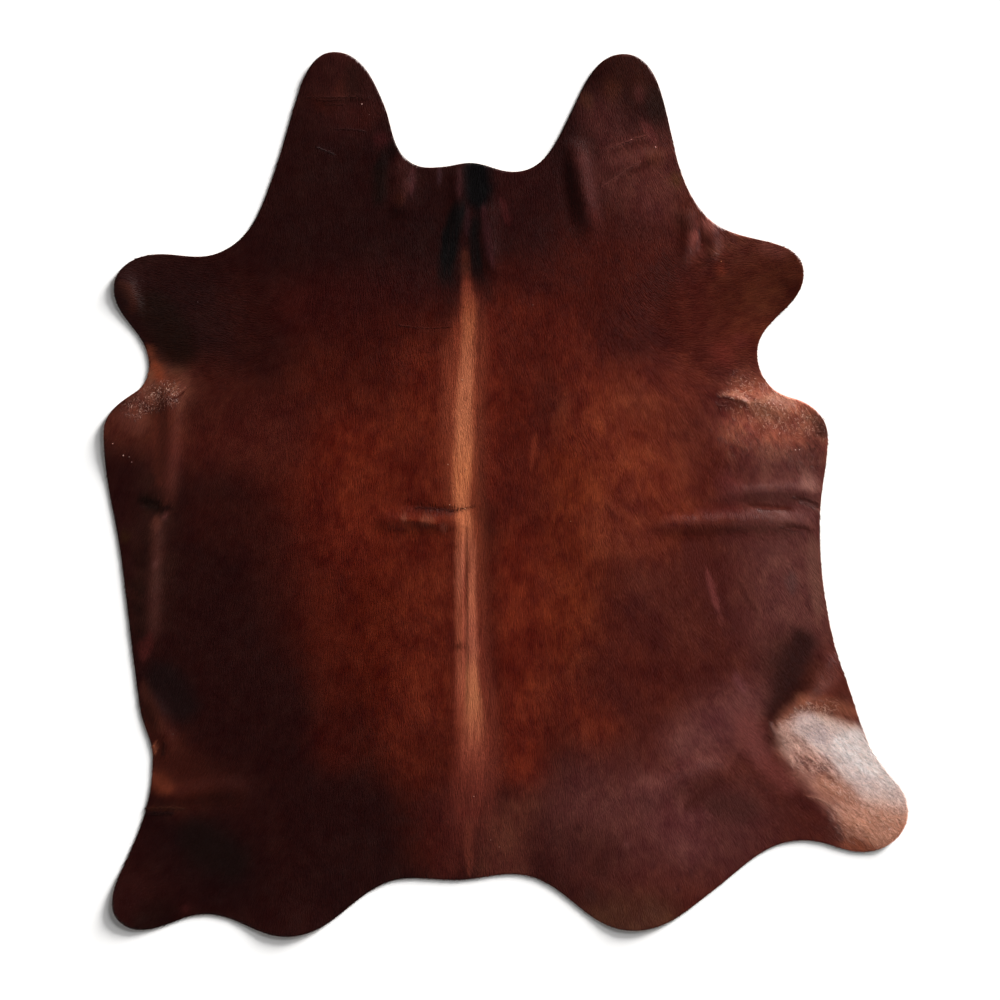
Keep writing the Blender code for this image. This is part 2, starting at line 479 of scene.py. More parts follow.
def inside_points(step, clear):
    """Points in staggered rows, all of them further inside the edge than clear."""
    rise = step * math.sqrt(0.75)
    low, high = edge_line[:, 1].min(), edge_line[:, 1].max()
    found = []
    for number, y in enumerate(np.arange(low + 0.5 * rise, high, rise)):
        shift = 0.5 * (number % 2)
        stops = crossings(y)
        for left, right in zip(stops[0::2], stops[1::2]):
            first, last = math.ceil(left / step - shift), math.floor(right / step - shift)
            for column in range(first, last + 1):
                x = (column + shift) * step
                if EDGE_TREE.find((x, y, 0.0))[2] > clear:
                    found.append((x, y))
    return np.array(found)


def net(step):
    """The hide cut out flat: the corners of its triangles, the edge's first, and the triangles."""
    points = np.vstack([edge_line, inside_points(step, CLEAR_OF_EDGE * step)])
    count = len(edge_line)
    ring = [(i, (i + 1) % count) for i in range(count)]
    _, _, triangles, came_from, _, _ = delaunay_2d_cdt(
        [Vector(point) for point in points], ring, [list(range(count))], 1, MERGE)
    place = np.array([sources[0] for sources in came_from])
    return points, place[np.array(triangles)]


hair_points, hair_triangles = net(HAIR_STEP)
suede_points, suede_triangles = net(SUEDE_STEP)
print("hair side:", len(hair_triangles), "triangles, floor side:", len(suede_triangles))

# %% One closed sheet


def add_piece(mesh):
    """Puts a finished mesh into the scene, riding on the hide's one body."""
    piece = bpy.data.objects.new(mesh.name, mesh)
    bpy.context.scene.collection.objects.link(piece)
    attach(piece, BODY)
    return piece


def flat_area(points, triangles):
    a, b, c = (points[triangles[:, corner]] for corner in range(3))
    return 0.5 * np.abs((b - a)[:, 0] * (c - a)[:, 1] - (b - a)[:, 1] * (c - a)[:, 0]).sum()


def make_sheet():
    """Both nets at their heights, joined round the edge."""
    count = len(edge_line)
    over = np.column_stack([hair_points, hair_side(hair_points[:, 0], hair_points[:, 1])])
    under = np.column_stack([suede_points, floor_side(suede_points[:, 0], suede_points[:, 1])])
    first_under = len(over)
    here = np.arange(count)
    after = (here + 1) % count
    strip = np.vstack([
        np.column_stack([here, here + first_under, after + first_under]),
        np.column_stack([here, after + first_under, after]),
    ])
    faces = np.vstack([hair_triangles, suede_triangles[:, ::-1] + first_under, strip])
    mesh = bpy.data.meshes.new("leather_sheet")
    mesh.from_pydata(np.vstack([over, under]).tolist(), [], faces.tolist())
    suede = np.arange(len(faces)) >= len(hair_triangles)
    mesh.polygons.foreach_set("material_index", suede.astype(np.int32))
    mesh.polygons.foreach_set("use_smooth", np.ones(len(faces), dtype=bool))
    mesh.update()
    return add_piece(mesh)


sheet = make_sheet()
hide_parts(NODE)
FLAT_AREA = float(flat_area(hair_points, hair_triangles))

# %% [markdown]
# ## Soft edges and soft noise
#
# Nothing on a hide changes at a hard line, and nothing on it is quite even. So a colour fades with
# an eased step, and noise varies it: random values on a lattice, with eased values between them.

# %% Soft edges and soft noise
LATTICE = 8192           # random values before a lattice repeats
HASH = (1619, 3671, 7, 97)
LAYER_COLUMNS = ("stretch", "size", "weight", "seed")


def eased(share):
    """0 below 0, 1 above 1, and a soft step between."""
    share = np.clip(share, 0.0, 1.0)
    return share * share * (3.0 - 2.0 * share)


def faded(distance, core, fade):
    """1 within the core, 0 from fade on, and a soft step between."""
    return 1.0 - eased((distance - core) / (fade - core))


def lumps(x, y, size, seed):
    """Soft noise from 0 to 1 with lumps of this size: random values on a lattice, eased between."""
    u, v = x / size, y / size
    column, row = np.floor(u).astype(np.int64), np.floor(v).astype(np.int64)
    values = np.random.default_rng(seed).random(LATTICE)

    def value(i, j):
        return values[(i * HASH[0] + j * HASH[1] + (i * j * HASH[2]) % HASH[3]) % LATTICE]

    return blended(value, column, row, eased(u - column), eased(v - row))


def layered(layers, x, y):
    """Noise round zero from a few layers. A stretch over 1 makes the lumps of a layer narrow."""
    total, middle = 0.0, 0.0
    for layer in rows(LAYER_COLUMNS, layers):
        noise = lumps(layer["stretch"] * x, y, layer["size"], layer["seed"])
        total = total + layer["weight"] * noise
        middle += 0.5 * layer["weight"]
    return total - middle


print("halfway through its fade a colour keeps", float(faded(1.5, 1.0, 2.0)), "of its strength")

# %% [markdown]
# ## The colours of the coat
#
# The coat is one dark brown, but no cow is even: it warms to chestnut on both sides of the back,
# and is bleached along the spine and at one hock. Over the whole right side, and most of all on
# the right flank, belly and rump, it is painted lighter and plum: partly the coat's own colour and
# partly painted sheen of light on the glossy hair from the right. Many smaller strokes below are
# painted highlights on ridges and painted shade in creases and hollows. A dyer would lay such
# colours wet in wet, one stroke over another, and so does this table. A stroke is a short line,
# which may be bowed. Its colour is full within the core, and has faded out at the distance called
# fade. Colours are given as they look, from 0 to 255, and are turned into the linear values of a
# finish later. The broad patches come first.

# %% Broad patches
BASE = (34, 15, 14)
STROKE_COLUMNS = ("stroke", "x0", "y0", "x1", "y1", "core", "fade", "share", "red", "green", "blue",
                  "bow")
PATCHES = (
    # right side: painted sheen, the right half lighter, partly the coat's own colour
    ("right side", 640, 380, 600, -780, 400, 660, 1.0, 71, 28, 22),
    ("neck right of the mane", 20, 780, 120, 620, 60, 170, 0.9, 41, 16, 15),
    ("neck lobe right", 360, 820, 400, 720, 30, 160, 1.0, 79, 37, 32),
    ("neck lobe right inner", 240, 950, 270, 800, 20, 100, 0.8, 72, 34, 31),
    ("lobe tip right", 290, 1080, 350, 1040, 10, 130, 0.9, 50, 22, 18),
    ("neck base right", 360, 610, 460, 600, 30, 100, 0.9, 68, 26, 21),
    ("neck edge right", 470, 740, 470, 720, 20, 70, 0.7, 66, 27, 20),
    ("shoulder right", 560, 620, 700, 590, 30, 120, 1.0, 84, 40, 30),
    ("foreleg right", 600, 500, 740, 520, 40, 140, 0.9, 72, 32, 22),
    ("foreleg root right", 580, 390, 620, 380, 20, 90, 0.7, 86, 37, 26),
    ("neck lobe left", -430, 1070, -400, 980, 10, 140, 0.9, 50, 22, 20),
    ("shoulder left", -500, 460, -220, 480, 40, 140, 0.9, 47, 16, 14),
    ("glow left", -380, 100, -290, -280, 60, 340, 1.0, 81, 26, 17),
    ("glow top left", -440, 300, -190, 380, 20, 160, 0.7, 62, 20, 14),
    ("glow left heart", -420, 60, -380, 40, 20, 120, 0.6, 88, 31, 19),
    ("glow left lower", -300, -300, -270, -580, 20, 190, 0.9, 68, 21, 13),
    ("glow left rim", -440, -260, -430, -500, 10, 100, 0.7, 62, 20, 14),
    ("glow left foot", -440, -600, -420, -640, 20, 100, 0.8, 54, 17, 13),
    ("glow beside the back left", -200, 300, -190, -660, 20, 150, 1.0, 82, 28, 18),
    ("glow end left", -190, -660, -170, -880, 10, 130, 0.75, 62, 21, 15),
    ("glow toward the belly left", -580, 160, -760, 140, 10, 160, 0.9, 63, 24, 19),
    ("belly corner left", -770, 280, -680, 260, 30, 110, 0.7, 58, 23, 18),
    ("flank corner left", -740, -60, -620, -90, 30, 100, 0.6, 46, 18, 15),
    ("chest top right", 20, 520, 180, 490, 40, 110, 0.9, 57, 18, 14),
    ("chest right", 220, 600, 340, 420, 60, 150, 0.85, 62, 21, 16),
    ("chest glow right", 120, 400, 210, 270, 20, 130, 0.7, 88, 27, 17),
    ("chest glow outer", 360, 290, 460, 260, 20, 100, 0.7, 92, 34, 24),
    ("glow right", 240, 130, 360, 40, 40, 240, 1.0, 104, 41, 26),
    ("glow right inner", 140, 60, 140, -360, 30, 180, 0.9, 92, 33, 19),
    ("glow right outer", 270, -80, 360, -100, 20, 120, 0.7, 98, 39, 26),
    ("glow edge right", 470, 170, 480, 40, 20, 80, 0.6, 80, 30, 22),
    ("beside the back top right", 20, 420, 20, 0, 50, 120, 1.0, 72, 23, 16),
    ("beside the line right", -38, 460, -36, 0, 6, 34, 0.7, 84, 27, 18),
    ("beside the knot right", 20, -60, 20, -80, 20, 70, 0.8, 72, 23, 16),
    ("glow beside the back right", 30, -150, 40, -680, 30, 120, 1.0, 85, 28, 18),
    ("glow foot right", 120, -500, 220, -580, 20, 120, 0.9, 86, 30, 19),
    ("dusk right", 300, -400, 380, -460, 20, 130, 0.7, 68, 23, 17),
    # below: the plums and belly sheen are partly painted sheen; the hollow and rump shade are
    # painted shade
    ("belly sheen right", 620, 200, 770, 150, 40, 150, 1.0, 148, 79, 61),
    ("flank plum right", 720, 20, 720, -300, 50, 210, 0.95, 91, 49, 44),
    ("thigh hollow right", 710, -400, 690, -470, 10, 100, 0.9, 58, 28, 24),
    ("thigh plum right", 460, -630, 600, -530, 20, 120, 0.9, 95, 51, 48),
    ("rump plum right", 220, -800, 540, -840, 50, 220, 0.8, 81, 42, 39),
    ("rump bright right", 360, -740, 460, -870, 20, 90, 0.8, 92, 48, 45),
    ("rump shade right", 140, -860, 260, -900, 10, 80, 0.7, 60, 28, 24),
    ("rump lobe right", 250, -1060, 380, -1060, 10, 100, 0.8, 66, 37, 27),
    ("tail", 20, -800, -20, -930, 20, 100, 0.9, 78, 37, 29),
    ("tail left", -150, -780, -140, -920, 20, 90, 0.8, 62, 24, 20),
    ("tail end", 10, -930, 30, -980, 20, 80, 0.7, 76, 37, 30),
    ("belly left", -910, 270, -840, 270, 20, 100, 1.0, 90, 49, 38),
    ("belly lobe left", -980, 180, -860, 160, 10, 110, 0.9, 67, 31, 23),
    ("flank left", -870, 40, -890, -320, 10, 80, 0.9, 44, 24, 20),
    ("thigh left dark", -800, -850, -700, -950, 20, 150, 0.8, 26, 14, 14),
    ("hock left", -880, -620, -800, -740, 20, 110, 0.9, 55, 23, 18),
    ("foot left dark", -860, -1050, -900, -1080, 20, 70, 0.8, 26, 14, 13),
    ("shoulder left outer", -660, 500, -640, 380, 20, 100, 0.5, 50, 19, 15),
)
print(len(PATCHES), "broad patches over the dark brown", BASE)

# %% [markdown]
# ### How a stroke is laid
#
# Hairs of two colours mix where they meet, so noise pushes the edge of every stroke in and out,
# and a stroke is narrower at its ends, as a brush leaves it.

# %% Strokes
RAGGED = 0.40            # how far noise pushes a stroke's edge in and out, as a share of its fade
RAGGED_MOST = 0.009
RAGGED_LAYERS = ((1.0, 22, 1.0, 41), (1.0, 9, 0.7, 42))
CORE_LAID = 0.6          # a stroke goes over more softly than its table says: a smaller core
FADE_LAID = 1.12         # and a wider fade
THIN_ENDS = 0.5          # how much narrower a stroke is at its ends
THIN_WITHIN = 0.02       # wider strokes than this are narrowed less
STROKE_REACH = 1.4       # of the fade, with room for the ragged edge


def display(colour):
    return np.array(colour, dtype=float) / 255.0


def stroked(x, y, shade, table, ragged):
    """The shades with a table's strokes laid over them in order, each on the points near it."""
    shade = shade.copy()
    for stroke in rows(STROKE_COLUMNS, table):
        reach = STROKE_REACH * stroke["fade"] + abs(stroke.get("bow", 0.0))
        left, right = sorted((stroke["x0"], stroke["x1"]))
        low, high = sorted((stroke["y0"], stroke["y1"]))
        near = (x > left - reach) & (x < right + reach) & (y > low - reach) & (y < high + reach)
        along, distance = from_line(x[near], y[near], stroke)
        thin = THIN_ENDS * min(1.0, THIN_WITHIN / stroke["fade"])
        distance = distance / (1.0 - thin * (2.0 * along - 1.0) ** 4)
        distance = distance + min(RAGGED * stroke["fade"], RAGGED_MOST) * ragged[near]
        core, fade = CORE_LAID * stroke["core"], FADE_LAID * stroke["fade"]
        share = stroke["share"] * faded(distance, core, fade)
        colour = display((stroke["red"], stroke["green"], stroke["blue"]))
        shade[near] += share[:, None] * (colour - shade[near])
    return shade


# %% [markdown]
# ### Mottling
#
# Under the warm parts the skin shows through as a mottle of rust and darker brown, in lumps from a
# finger's width to a hand's. It changes the hue more than the brightness, so green changes most.

# %% Mottling
MOTTLE_COLUMNS = ("lump", "size", "strength", "seed")
MOTTLE = (
    ("hand", 75, 0.10, 11),
    ("palm", 34, 0.10, 12),
    ("thumb", 15, 0.12, 13),
    ("finger", 7, 0.10, 14),
)
MOTTLE_HUE = np.array((1.0, 1.7, 1.3))
WARM_FROM = 0.10         # red over blue where the coat starts to be warm
WARM_RANGE = 0.20


def mottled(x, y, shade):
    """Darker and lighter lumps, strongest where the coat is warm."""
    warmth = eased((shade[:, 0] - shade[:, 2] - WARM_FROM) / WARM_RANGE)
    level = np.zeros(len(x))
    for lump in rows(MOTTLE_COLUMNS, MOTTLE):
        level += lump["strength"] * (2.0 * lumps(x, y, lump["size"], lump["seed"]) - 1.0)
    return shade * (1.0 + (level * (0.5 + 0.5 * warmth))[:, None] * MOTTLE_HUE)


print("lumps of", [size for _, size, _, _ in MOTTLE], "mm")

# %% [markdown]
# ### The mane and the line of the back
#
# The mane is near black and splits in two. Below it the hair of the back is bleached in a narrow
# line with a warm halo. A knot of whorled hair crosses it halfway, and below the knot the line
# lies in two strips. These marks run down the hide and change slowly, so each is a ribbon: its
# middle, its width and its colour are given at a few stations, from the neck down, and go over
# smoothly from one to the next.

# %% Ribbons
RIBBON_COLUMNS = ("y", "x", "core", "fade", "share", "red", "green", "blue")
LEFT_LEG = (
    (750, -110, 4, 18, 0.0, 18, 15, 14),
    (710, -121, 8, 28, 1.0, 17, 14, 14),
    (655, -134, 12, 32, 1.0, 16, 14, 14),
    (590, -147, 10, 30, 1.0, 16, 14, 14),
    (545, -149, 8, 30, 0.7, 18, 14, 14),
    (505, -150, 4, 30, 0.0, 24, 14, 13),
)
RIGHT_LEG = (
    (715, -72, 2, 14, 0.0, 18, 14, 14),
    (680, -74, 4, 18, 0.9, 18, 14, 14),
    (640, -79, 5, 19, 0.9, 18, 14, 14),
    (585, -74, 5, 19, 0.9, 18, 14, 14),
    (545, -68, 4, 22, 0.5, 20, 14, 14),
    (515, -66, 3, 22, 0.0, 26, 14, 13),
)
HALO = (
    (555, -95, 6, 30, 0.0, 76, 28, 20),
    (500, -86, 10, 50, 0.7, 88, 34, 25),
    (430, -92, 18, 74, 0.85, 104, 44, 30),
    (360, -103, 26, 80, 0.9, 114, 51, 35),
    (200, -109, 24, 78, 0.9, 120, 55, 37),
    (60, -108, 20, 74, 0.9, 118, 54, 36),
    (-60, -99, 18, 66, 0.85, 112, 50, 33),
    (-140, -86, 16, 56, 0.85, 108, 48, 32),
    (-390, -84, 20, 62, 0.85, 104, 44, 32),
    (-520, -76, 26, 72, 0.85, 108, 47, 34),
    (-620, -72, 28, 80, 0.85, 104, 44, 32),
    (-710, -76, 28, 88, 0.8, 100, 42, 32),
    (-800, -84, 24, 90, 0.7, 98, 43, 34),
    (-930, -90, 10, 70, 0.0, 80, 34, 30),
)
BRIGHT_LINE = (
    (560, -99, 3, 14, 0.0, 96, 40, 30),
    (525, -98, 5, 22, 0.9, 112, 50, 36),
    (470, -89, 7, 30, 0.95, 130, 64, 42),
    (420, -94, 6, 27, 1.0, 147, 80, 53),
    (350, -94, 6, 27, 0.95, 152, 84, 58),
    (285, -101, 8, 30, 1.0, 164, 94, 66),
    (210, -106, 9, 32, 1.0, 168, 96, 66),
    (135, -104, 10, 34, 1.0, 172, 100, 68),
    (50, -110, 8, 35, 1.0, 177, 102, 66),
    (-5, -112, 6, 30, 1.0, 172, 98, 65),
    (-60, -103, 8, 32, 1.0, 165, 93, 63),
    (-110, -101, 8, 32, 0.8, 158, 87, 60),
    (-170, -100, 6, 28, 0.0, 146, 78, 56),
)
LEFT_STRIP = (
    (-85, -105, 3, 20, 0.0, 150, 84, 60),
    (-140, -111, 4, 23, 0.8, 148, 82, 60),
    (-210, -114, 4, 22, 0.9, 138, 73, 54),
    (-290, -113, 3, 22, 0.85, 134, 68, 48),
    (-390, -111, 3, 22, 0.8, 128, 64, 46),
    (-450, -113, 4, 20, 0.85, 138, 72, 52),
    (-520, -114, 3, 19, 0.8, 130, 62, 45),
    (-590, -115, 2, 18, 0.5, 114, 50, 34),
    (-680, -116, 2, 18, 0.0, 96, 42, 32),
)
RIGHT_STRIP = (
    (-90, -88, 3, 20, 0.0, 150, 82, 60),
    (-140, -88, 5, 23, 0.8, 148, 80, 58),
    (-210, -86, 5, 19, 0.95, 158, 86, 62),
    (-270, -85, 5, 20, 1.0, 166, 92, 66),
    (-330, -87, 7, 25, 0.95, 150, 80, 60),
    (-390, -86, 7, 26, 0.9, 148, 80, 60),
    (-450, -88, 9, 27, 1.0, 164, 95, 66),
    (-515, -84, 11, 34, 1.0, 160, 94, 64),
    (-580, -80, 10, 40, 0.9, 150, 82, 58),
    (-640, -83, 10, 44, 0.8, 134, 66, 49),
    (-700, -76, 10, 52, 0.55, 114, 52, 39),
    (-770, -78, 10, 56, 0.0, 100, 42, 36),
)
FURROW = (
    (-150, -100, 1, 7, 0.0, 96, 42, 32),
    (-215, -101, 2, 8, 0.5, 92, 38, 28),
    (-330, -102, 1, 8, 0.3, 96, 40, 30),
    (-420, -104, 2, 9, 0.4, 94, 40, 30),
    (-500, -104, 1, 8, 0.4, 96, 40, 30),
    (-580, -106, 1, 8, 0.0, 100, 44, 34),
)
RIBBONS = (LEFT_LEG, RIGHT_LEG, HALO, BRIGHT_LINE, LEFT_STRIP, RIGHT_STRIP, FURROW)
print(len(RIBBONS), "ribbons down the back")

# %% [markdown]
# ### How a ribbon is laid
#
# Its edges wander a little, and its hair lies in long narrow strands that differ.

# %% Laying a ribbon
BACK_X = -0.10           # the back line
RIBBON_REACH = 0.15      # no ribbon goes further from the back line
WANDER = 0.004           # how far noise moves a ribbon's edges
WANDER_SHARE = 0.25      # but at most this share of its fade
STRANDS = 0.52           # how much the strands of the back differ
STRAND_LAYERS = ((14.0, 50, 1.0, 51), (8.0, 30, 0.6, 52))


def ribboned(x, y, shade, stations, ragged):
    """The shades with one ribbon laid over them."""
    shade = shade.copy()
    marks = rows(RIBBON_COLUMNS, stations[::-1])
    ys = [mark["y"] for mark in marks]
    near = (y > ys[0]) & (y < ys[-1]) & (np.abs(x - BACK_X) < RIBBON_REACH)
    here = {name: np.interp(y[near], ys, [mark[name] for mark in marks])
            for name in RIBBON_COLUMNS}
    push = np.minimum(WANDER, WANDER_SHARE * here["fade"]) * ragged[near]
    distance = np.abs(x[near] - here["x"]) + push
    share = here["share"] * faded(distance, here["core"], here["fade"])
    strands = layered(STRAND_LAYERS, x[near], y[near])
    share = np.clip(share * (1.0 + STRANDS * strands), 0.0, 1.0)
    colour = display(np.column_stack([here["red"], here["green"], here["blue"]]))
    shade[near] += share[:, None] * (colour - shade[near])
    return shade


# %% [markdown]
# ### Strokes beside the ribbons
#
# The mane has a black heart, and single strands of it are plum or brown. The line of the back
# ends in loose strands.

# %% Mane and end of the back
MANE = (
    ("black block", -69, 822, -69, 740, 22, 50, 1.0, 14, 12, 13),
    ("streak beside it", -116, 813, -117, 740, 3, 12, 0.6, 58, 31, 33),
    ("streak by the left lobe", -234, 813, -236, 750, 3, 13, 0.6, 60, 29, 31),
    ("streak between", -165, 818, -166, 782, 2, 10, 0.6, 62, 40, 44),
    ("plum middle", -96, 712, -95, 650, 2, 11, 0.6, 42, 25, 28),
    ("plum right", -55, 718, -32, 572, 3, 17, 0.7, 62, 31, 33, -4),
    ("red strand", -13, 740, 8, 678, 3, 14, 0.6, 66, 26, 26),
    ("brown middle", -103, 606, -99, 545, 4, 21, 0.9, 66, 31, 23),
)
BACK_END = (
    ("notch in the strip", -136, -376, -102, -380, 3, 9, 0.95, 64, 24, 17),
    ("gap", -115, -795, -60, -795, 3, 18, 0.4, 76, 26, 22),
    ("last strand", -94, -810, -92, -950, 3, 18, 0.7, 92, 42, 32),
)
print(len(MANE), "strokes in the mane,", len(BACK_END), "at the end of the back")

# %% [markdown]
# ### The knot
#
# Where the hair of the back whorls, folds lie beside it: their bumps are painted highlights and
# their hollows painted shade, and the slant dark and slant light are painted shade and highlight
# along a crease.

# %% The knot
KNOT = (
    ("left bump far", -262, -58, -250, -62, 3, 14, 0.6, 118, 70, 56),
    ("left bump", -212, -62, -180, -66, 4, 17, 0.7, 108, 56, 40),
    ("left bump near", -160, -78, -150, -90, 4, 16, 0.6, 106, 57, 46),
    ("left shade", -228, -34, -124, -42, 2, 14, 0.7, 46, 16, 13),
    ("slant right of it", 74, 148, 62, 62, 2, 13, 0.5, 122, 52, 34),
    ("slant dark", 248, -22, 278, -60, 1, 10, 0.5, 68, 25, 18),
    ("slant light", 253, -15, 283, -53, 1, 8, 0.4, 122, 56, 38),
)
print(len(KNOT), "strokes at the knot")

# %% [markdown]
# ### Neck, shoulders and forelegs
#
# Here the folds that the neck keeps from shipping catch the light, and the strokes paint it: on
# each side a plum painted highlight on the ridge beside painted shade in the trough, and painted
# light and shade at the pinched crease where the right foreleg starts. The shade under the lobe and
# by the shoulder is painted too, the rims of the left foreleg are painted highlights, and its dark
# patch is painted shade.

# %% Neck and shoulders
NECK = (
    ("left tip orange", -414, 1018, -412, 1004, 4, 36, 0.6, 66, 30, 24),
    ("left tip shade", -380, 1055, -380, 1000, 6, 40, 0.5, 34, 18, 15),
    ("left lobe rust", -470, 975, -430, 970, 8, 32, 0.5, 50, 19, 14),
    ("left lobe rust inner", -372, 930, -332, 955, 15, 50, 0.6, 50, 19, 16),
    ("left lobe red", -320, 893, -296, 874, 4, 28, 0.6, 58, 22, 23),
    ("left trough top", -283, 872, -312, 820, 4, 30, 0.7, 22, 13, 12),
    ("left trough", -312, 820, -315, 735, 5, 32, 0.7, 21, 14, 12),
    ("left ridge", -264, 830, -270, 735, 6, 38, 0.6, 58, 27, 24),
    ("left ridge light", -250, 785, -254, 752, 2, 22, 0.4, 80, 43, 40),
    ("left ridge rust", -266, 745, -264, 732, 2, 24, 0.3, 68, 30, 18),
    ("right lobe orange", 262, 1024, 264, 1006, 6, 40, 0.55, 76, 37, 25),
    ("right lobe olive", 198, 995, 206, 975, 6, 28, 0.7, 66, 36, 26),
    ("right lobe light", 332, 1012, 336, 990, 3, 24, 0.5, 86, 42, 40),
    ("right lobe shade", 376, 1000, 380, 950, 8, 42, 0.8, 37, 20, 16),
    ("right lobe red slant", 338, 932, 374, 884, 2, 18, 0.5, 98, 45, 43),
    ("right lobe dark", 262, 930, 264, 926, 6, 24, 0.7, 50, 21, 19),
    ("right lobe dark inner", 198, 900, 226, 850, 4, 28, 0.4, 40, 19, 17),
    ("right lobe brown", 366, 848, 372, 840, 12, 40, 0.7, 84, 44, 33),
    ("right lobe green", 425, 790, 428, 780, 8, 30, 0.8, 78, 44, 27),
    ("right lobe edge", 445, 768, 455, 745, 6, 30, 0.4, 86, 40, 33),
    ("right lobe lower light", 350, 730, 352, 722, 8, 30, 0.5, 90, 44, 40),
    ("right trough", 142, 872, 156, 800, 6, 44, 0.45, 36, 16, 15),
    ("right trough lower", 158, 800, 184, 655, 6, 46, 0.45, 36, 16, 15),
    ("right ridge top", 164, 868, 184, 828, 4, 32, 0.4, 74, 36, 33),
    ("right ridge", 190, 830, 216, 745, 6, 38, 0.4, 74, 36, 33),
    ("right ridge lower", 214, 745, 228, 650, 4, 32, 0.4, 70, 32, 30),
    ("shade under the lobe", 245, 660, 405, 652, 8, 34, 0.7, 60, 24, 20),
    ("shade by the armpit", 432, 692, 462, 668, 4, 34, 0.5, 50, 22, 18),
    ("armpit light", 496, 676, 508, 668, 4, 30, 0.8, 140, 80, 72),
    ("armpit light lower", 500, 664, 508, 648, 4, 26, 0.6, 114, 58, 48),
    ("armpit light left", 474, 652, 466, 628, 3, 22, 0.7, 106, 53, 47),
    ("armpit light below", 490, 624, 493, 600, 3, 22, 0.6, 104, 46, 38),
    ("shoulder strand", 424, 594, 436, 506, 2, 16, 0.5, 88, 38, 32),
    ("shoulder shade", 400, 582, 400, 490, 12, 52, 0.7, 58, 21, 16),
    ("shoulder red", 533, 578, 540, 548, 3, 16, 0.7, 104, 42, 29),
    # partly painted sheen
    ("shoulder plum", 650, 620, 690, 606, 6, 40, 0.6, 104, 56, 48),
    ("foreleg light", 538, 354, 545, 345, 12, 50, 0.7, 98, 39, 32),
    ("foreleg light outer", 580, 386, 590, 376, 6, 34, 0.5, 100, 43, 37),
    ("left foreleg rim", -958, 525, -930, 482, 10, 24, 0.9, 54, 27, 21),
    ("left foreleg rim lower", -930, 480, -932, 455, 8, 20, 0.9, 58, 26, 20),
    # painted shade of the left foreleg's fold
    ("left foreleg black", -880, 465, -815, 360, 30, 70, 0.9, 27, 15, 12),
    ("left armpit rim", -895, 368, -880, 328, 8, 22, 0.9, 86, 42, 29),
    ("left armpit rim lower", -880, 326, -860, 290, 6, 22, 0.9, 108, 50, 32),
)
print(len(NECK), "strokes on neck, shoulders and forelegs")

# %% [markdown]
# ### Bellies and flanks
#
# The belly's hair is longer and ruffled, so each belly corner glints. The flanks have short sharp
# creases that run in from the edge, and on the left a low ridge that follows it. The strokes paint
# their light: highlights on ridges, wrinkles and lobes, shade in creases, notches and the left
# pinch, and sheen along the right edge. The left hollow is painted lighter, against the shade that
# its fold throws.

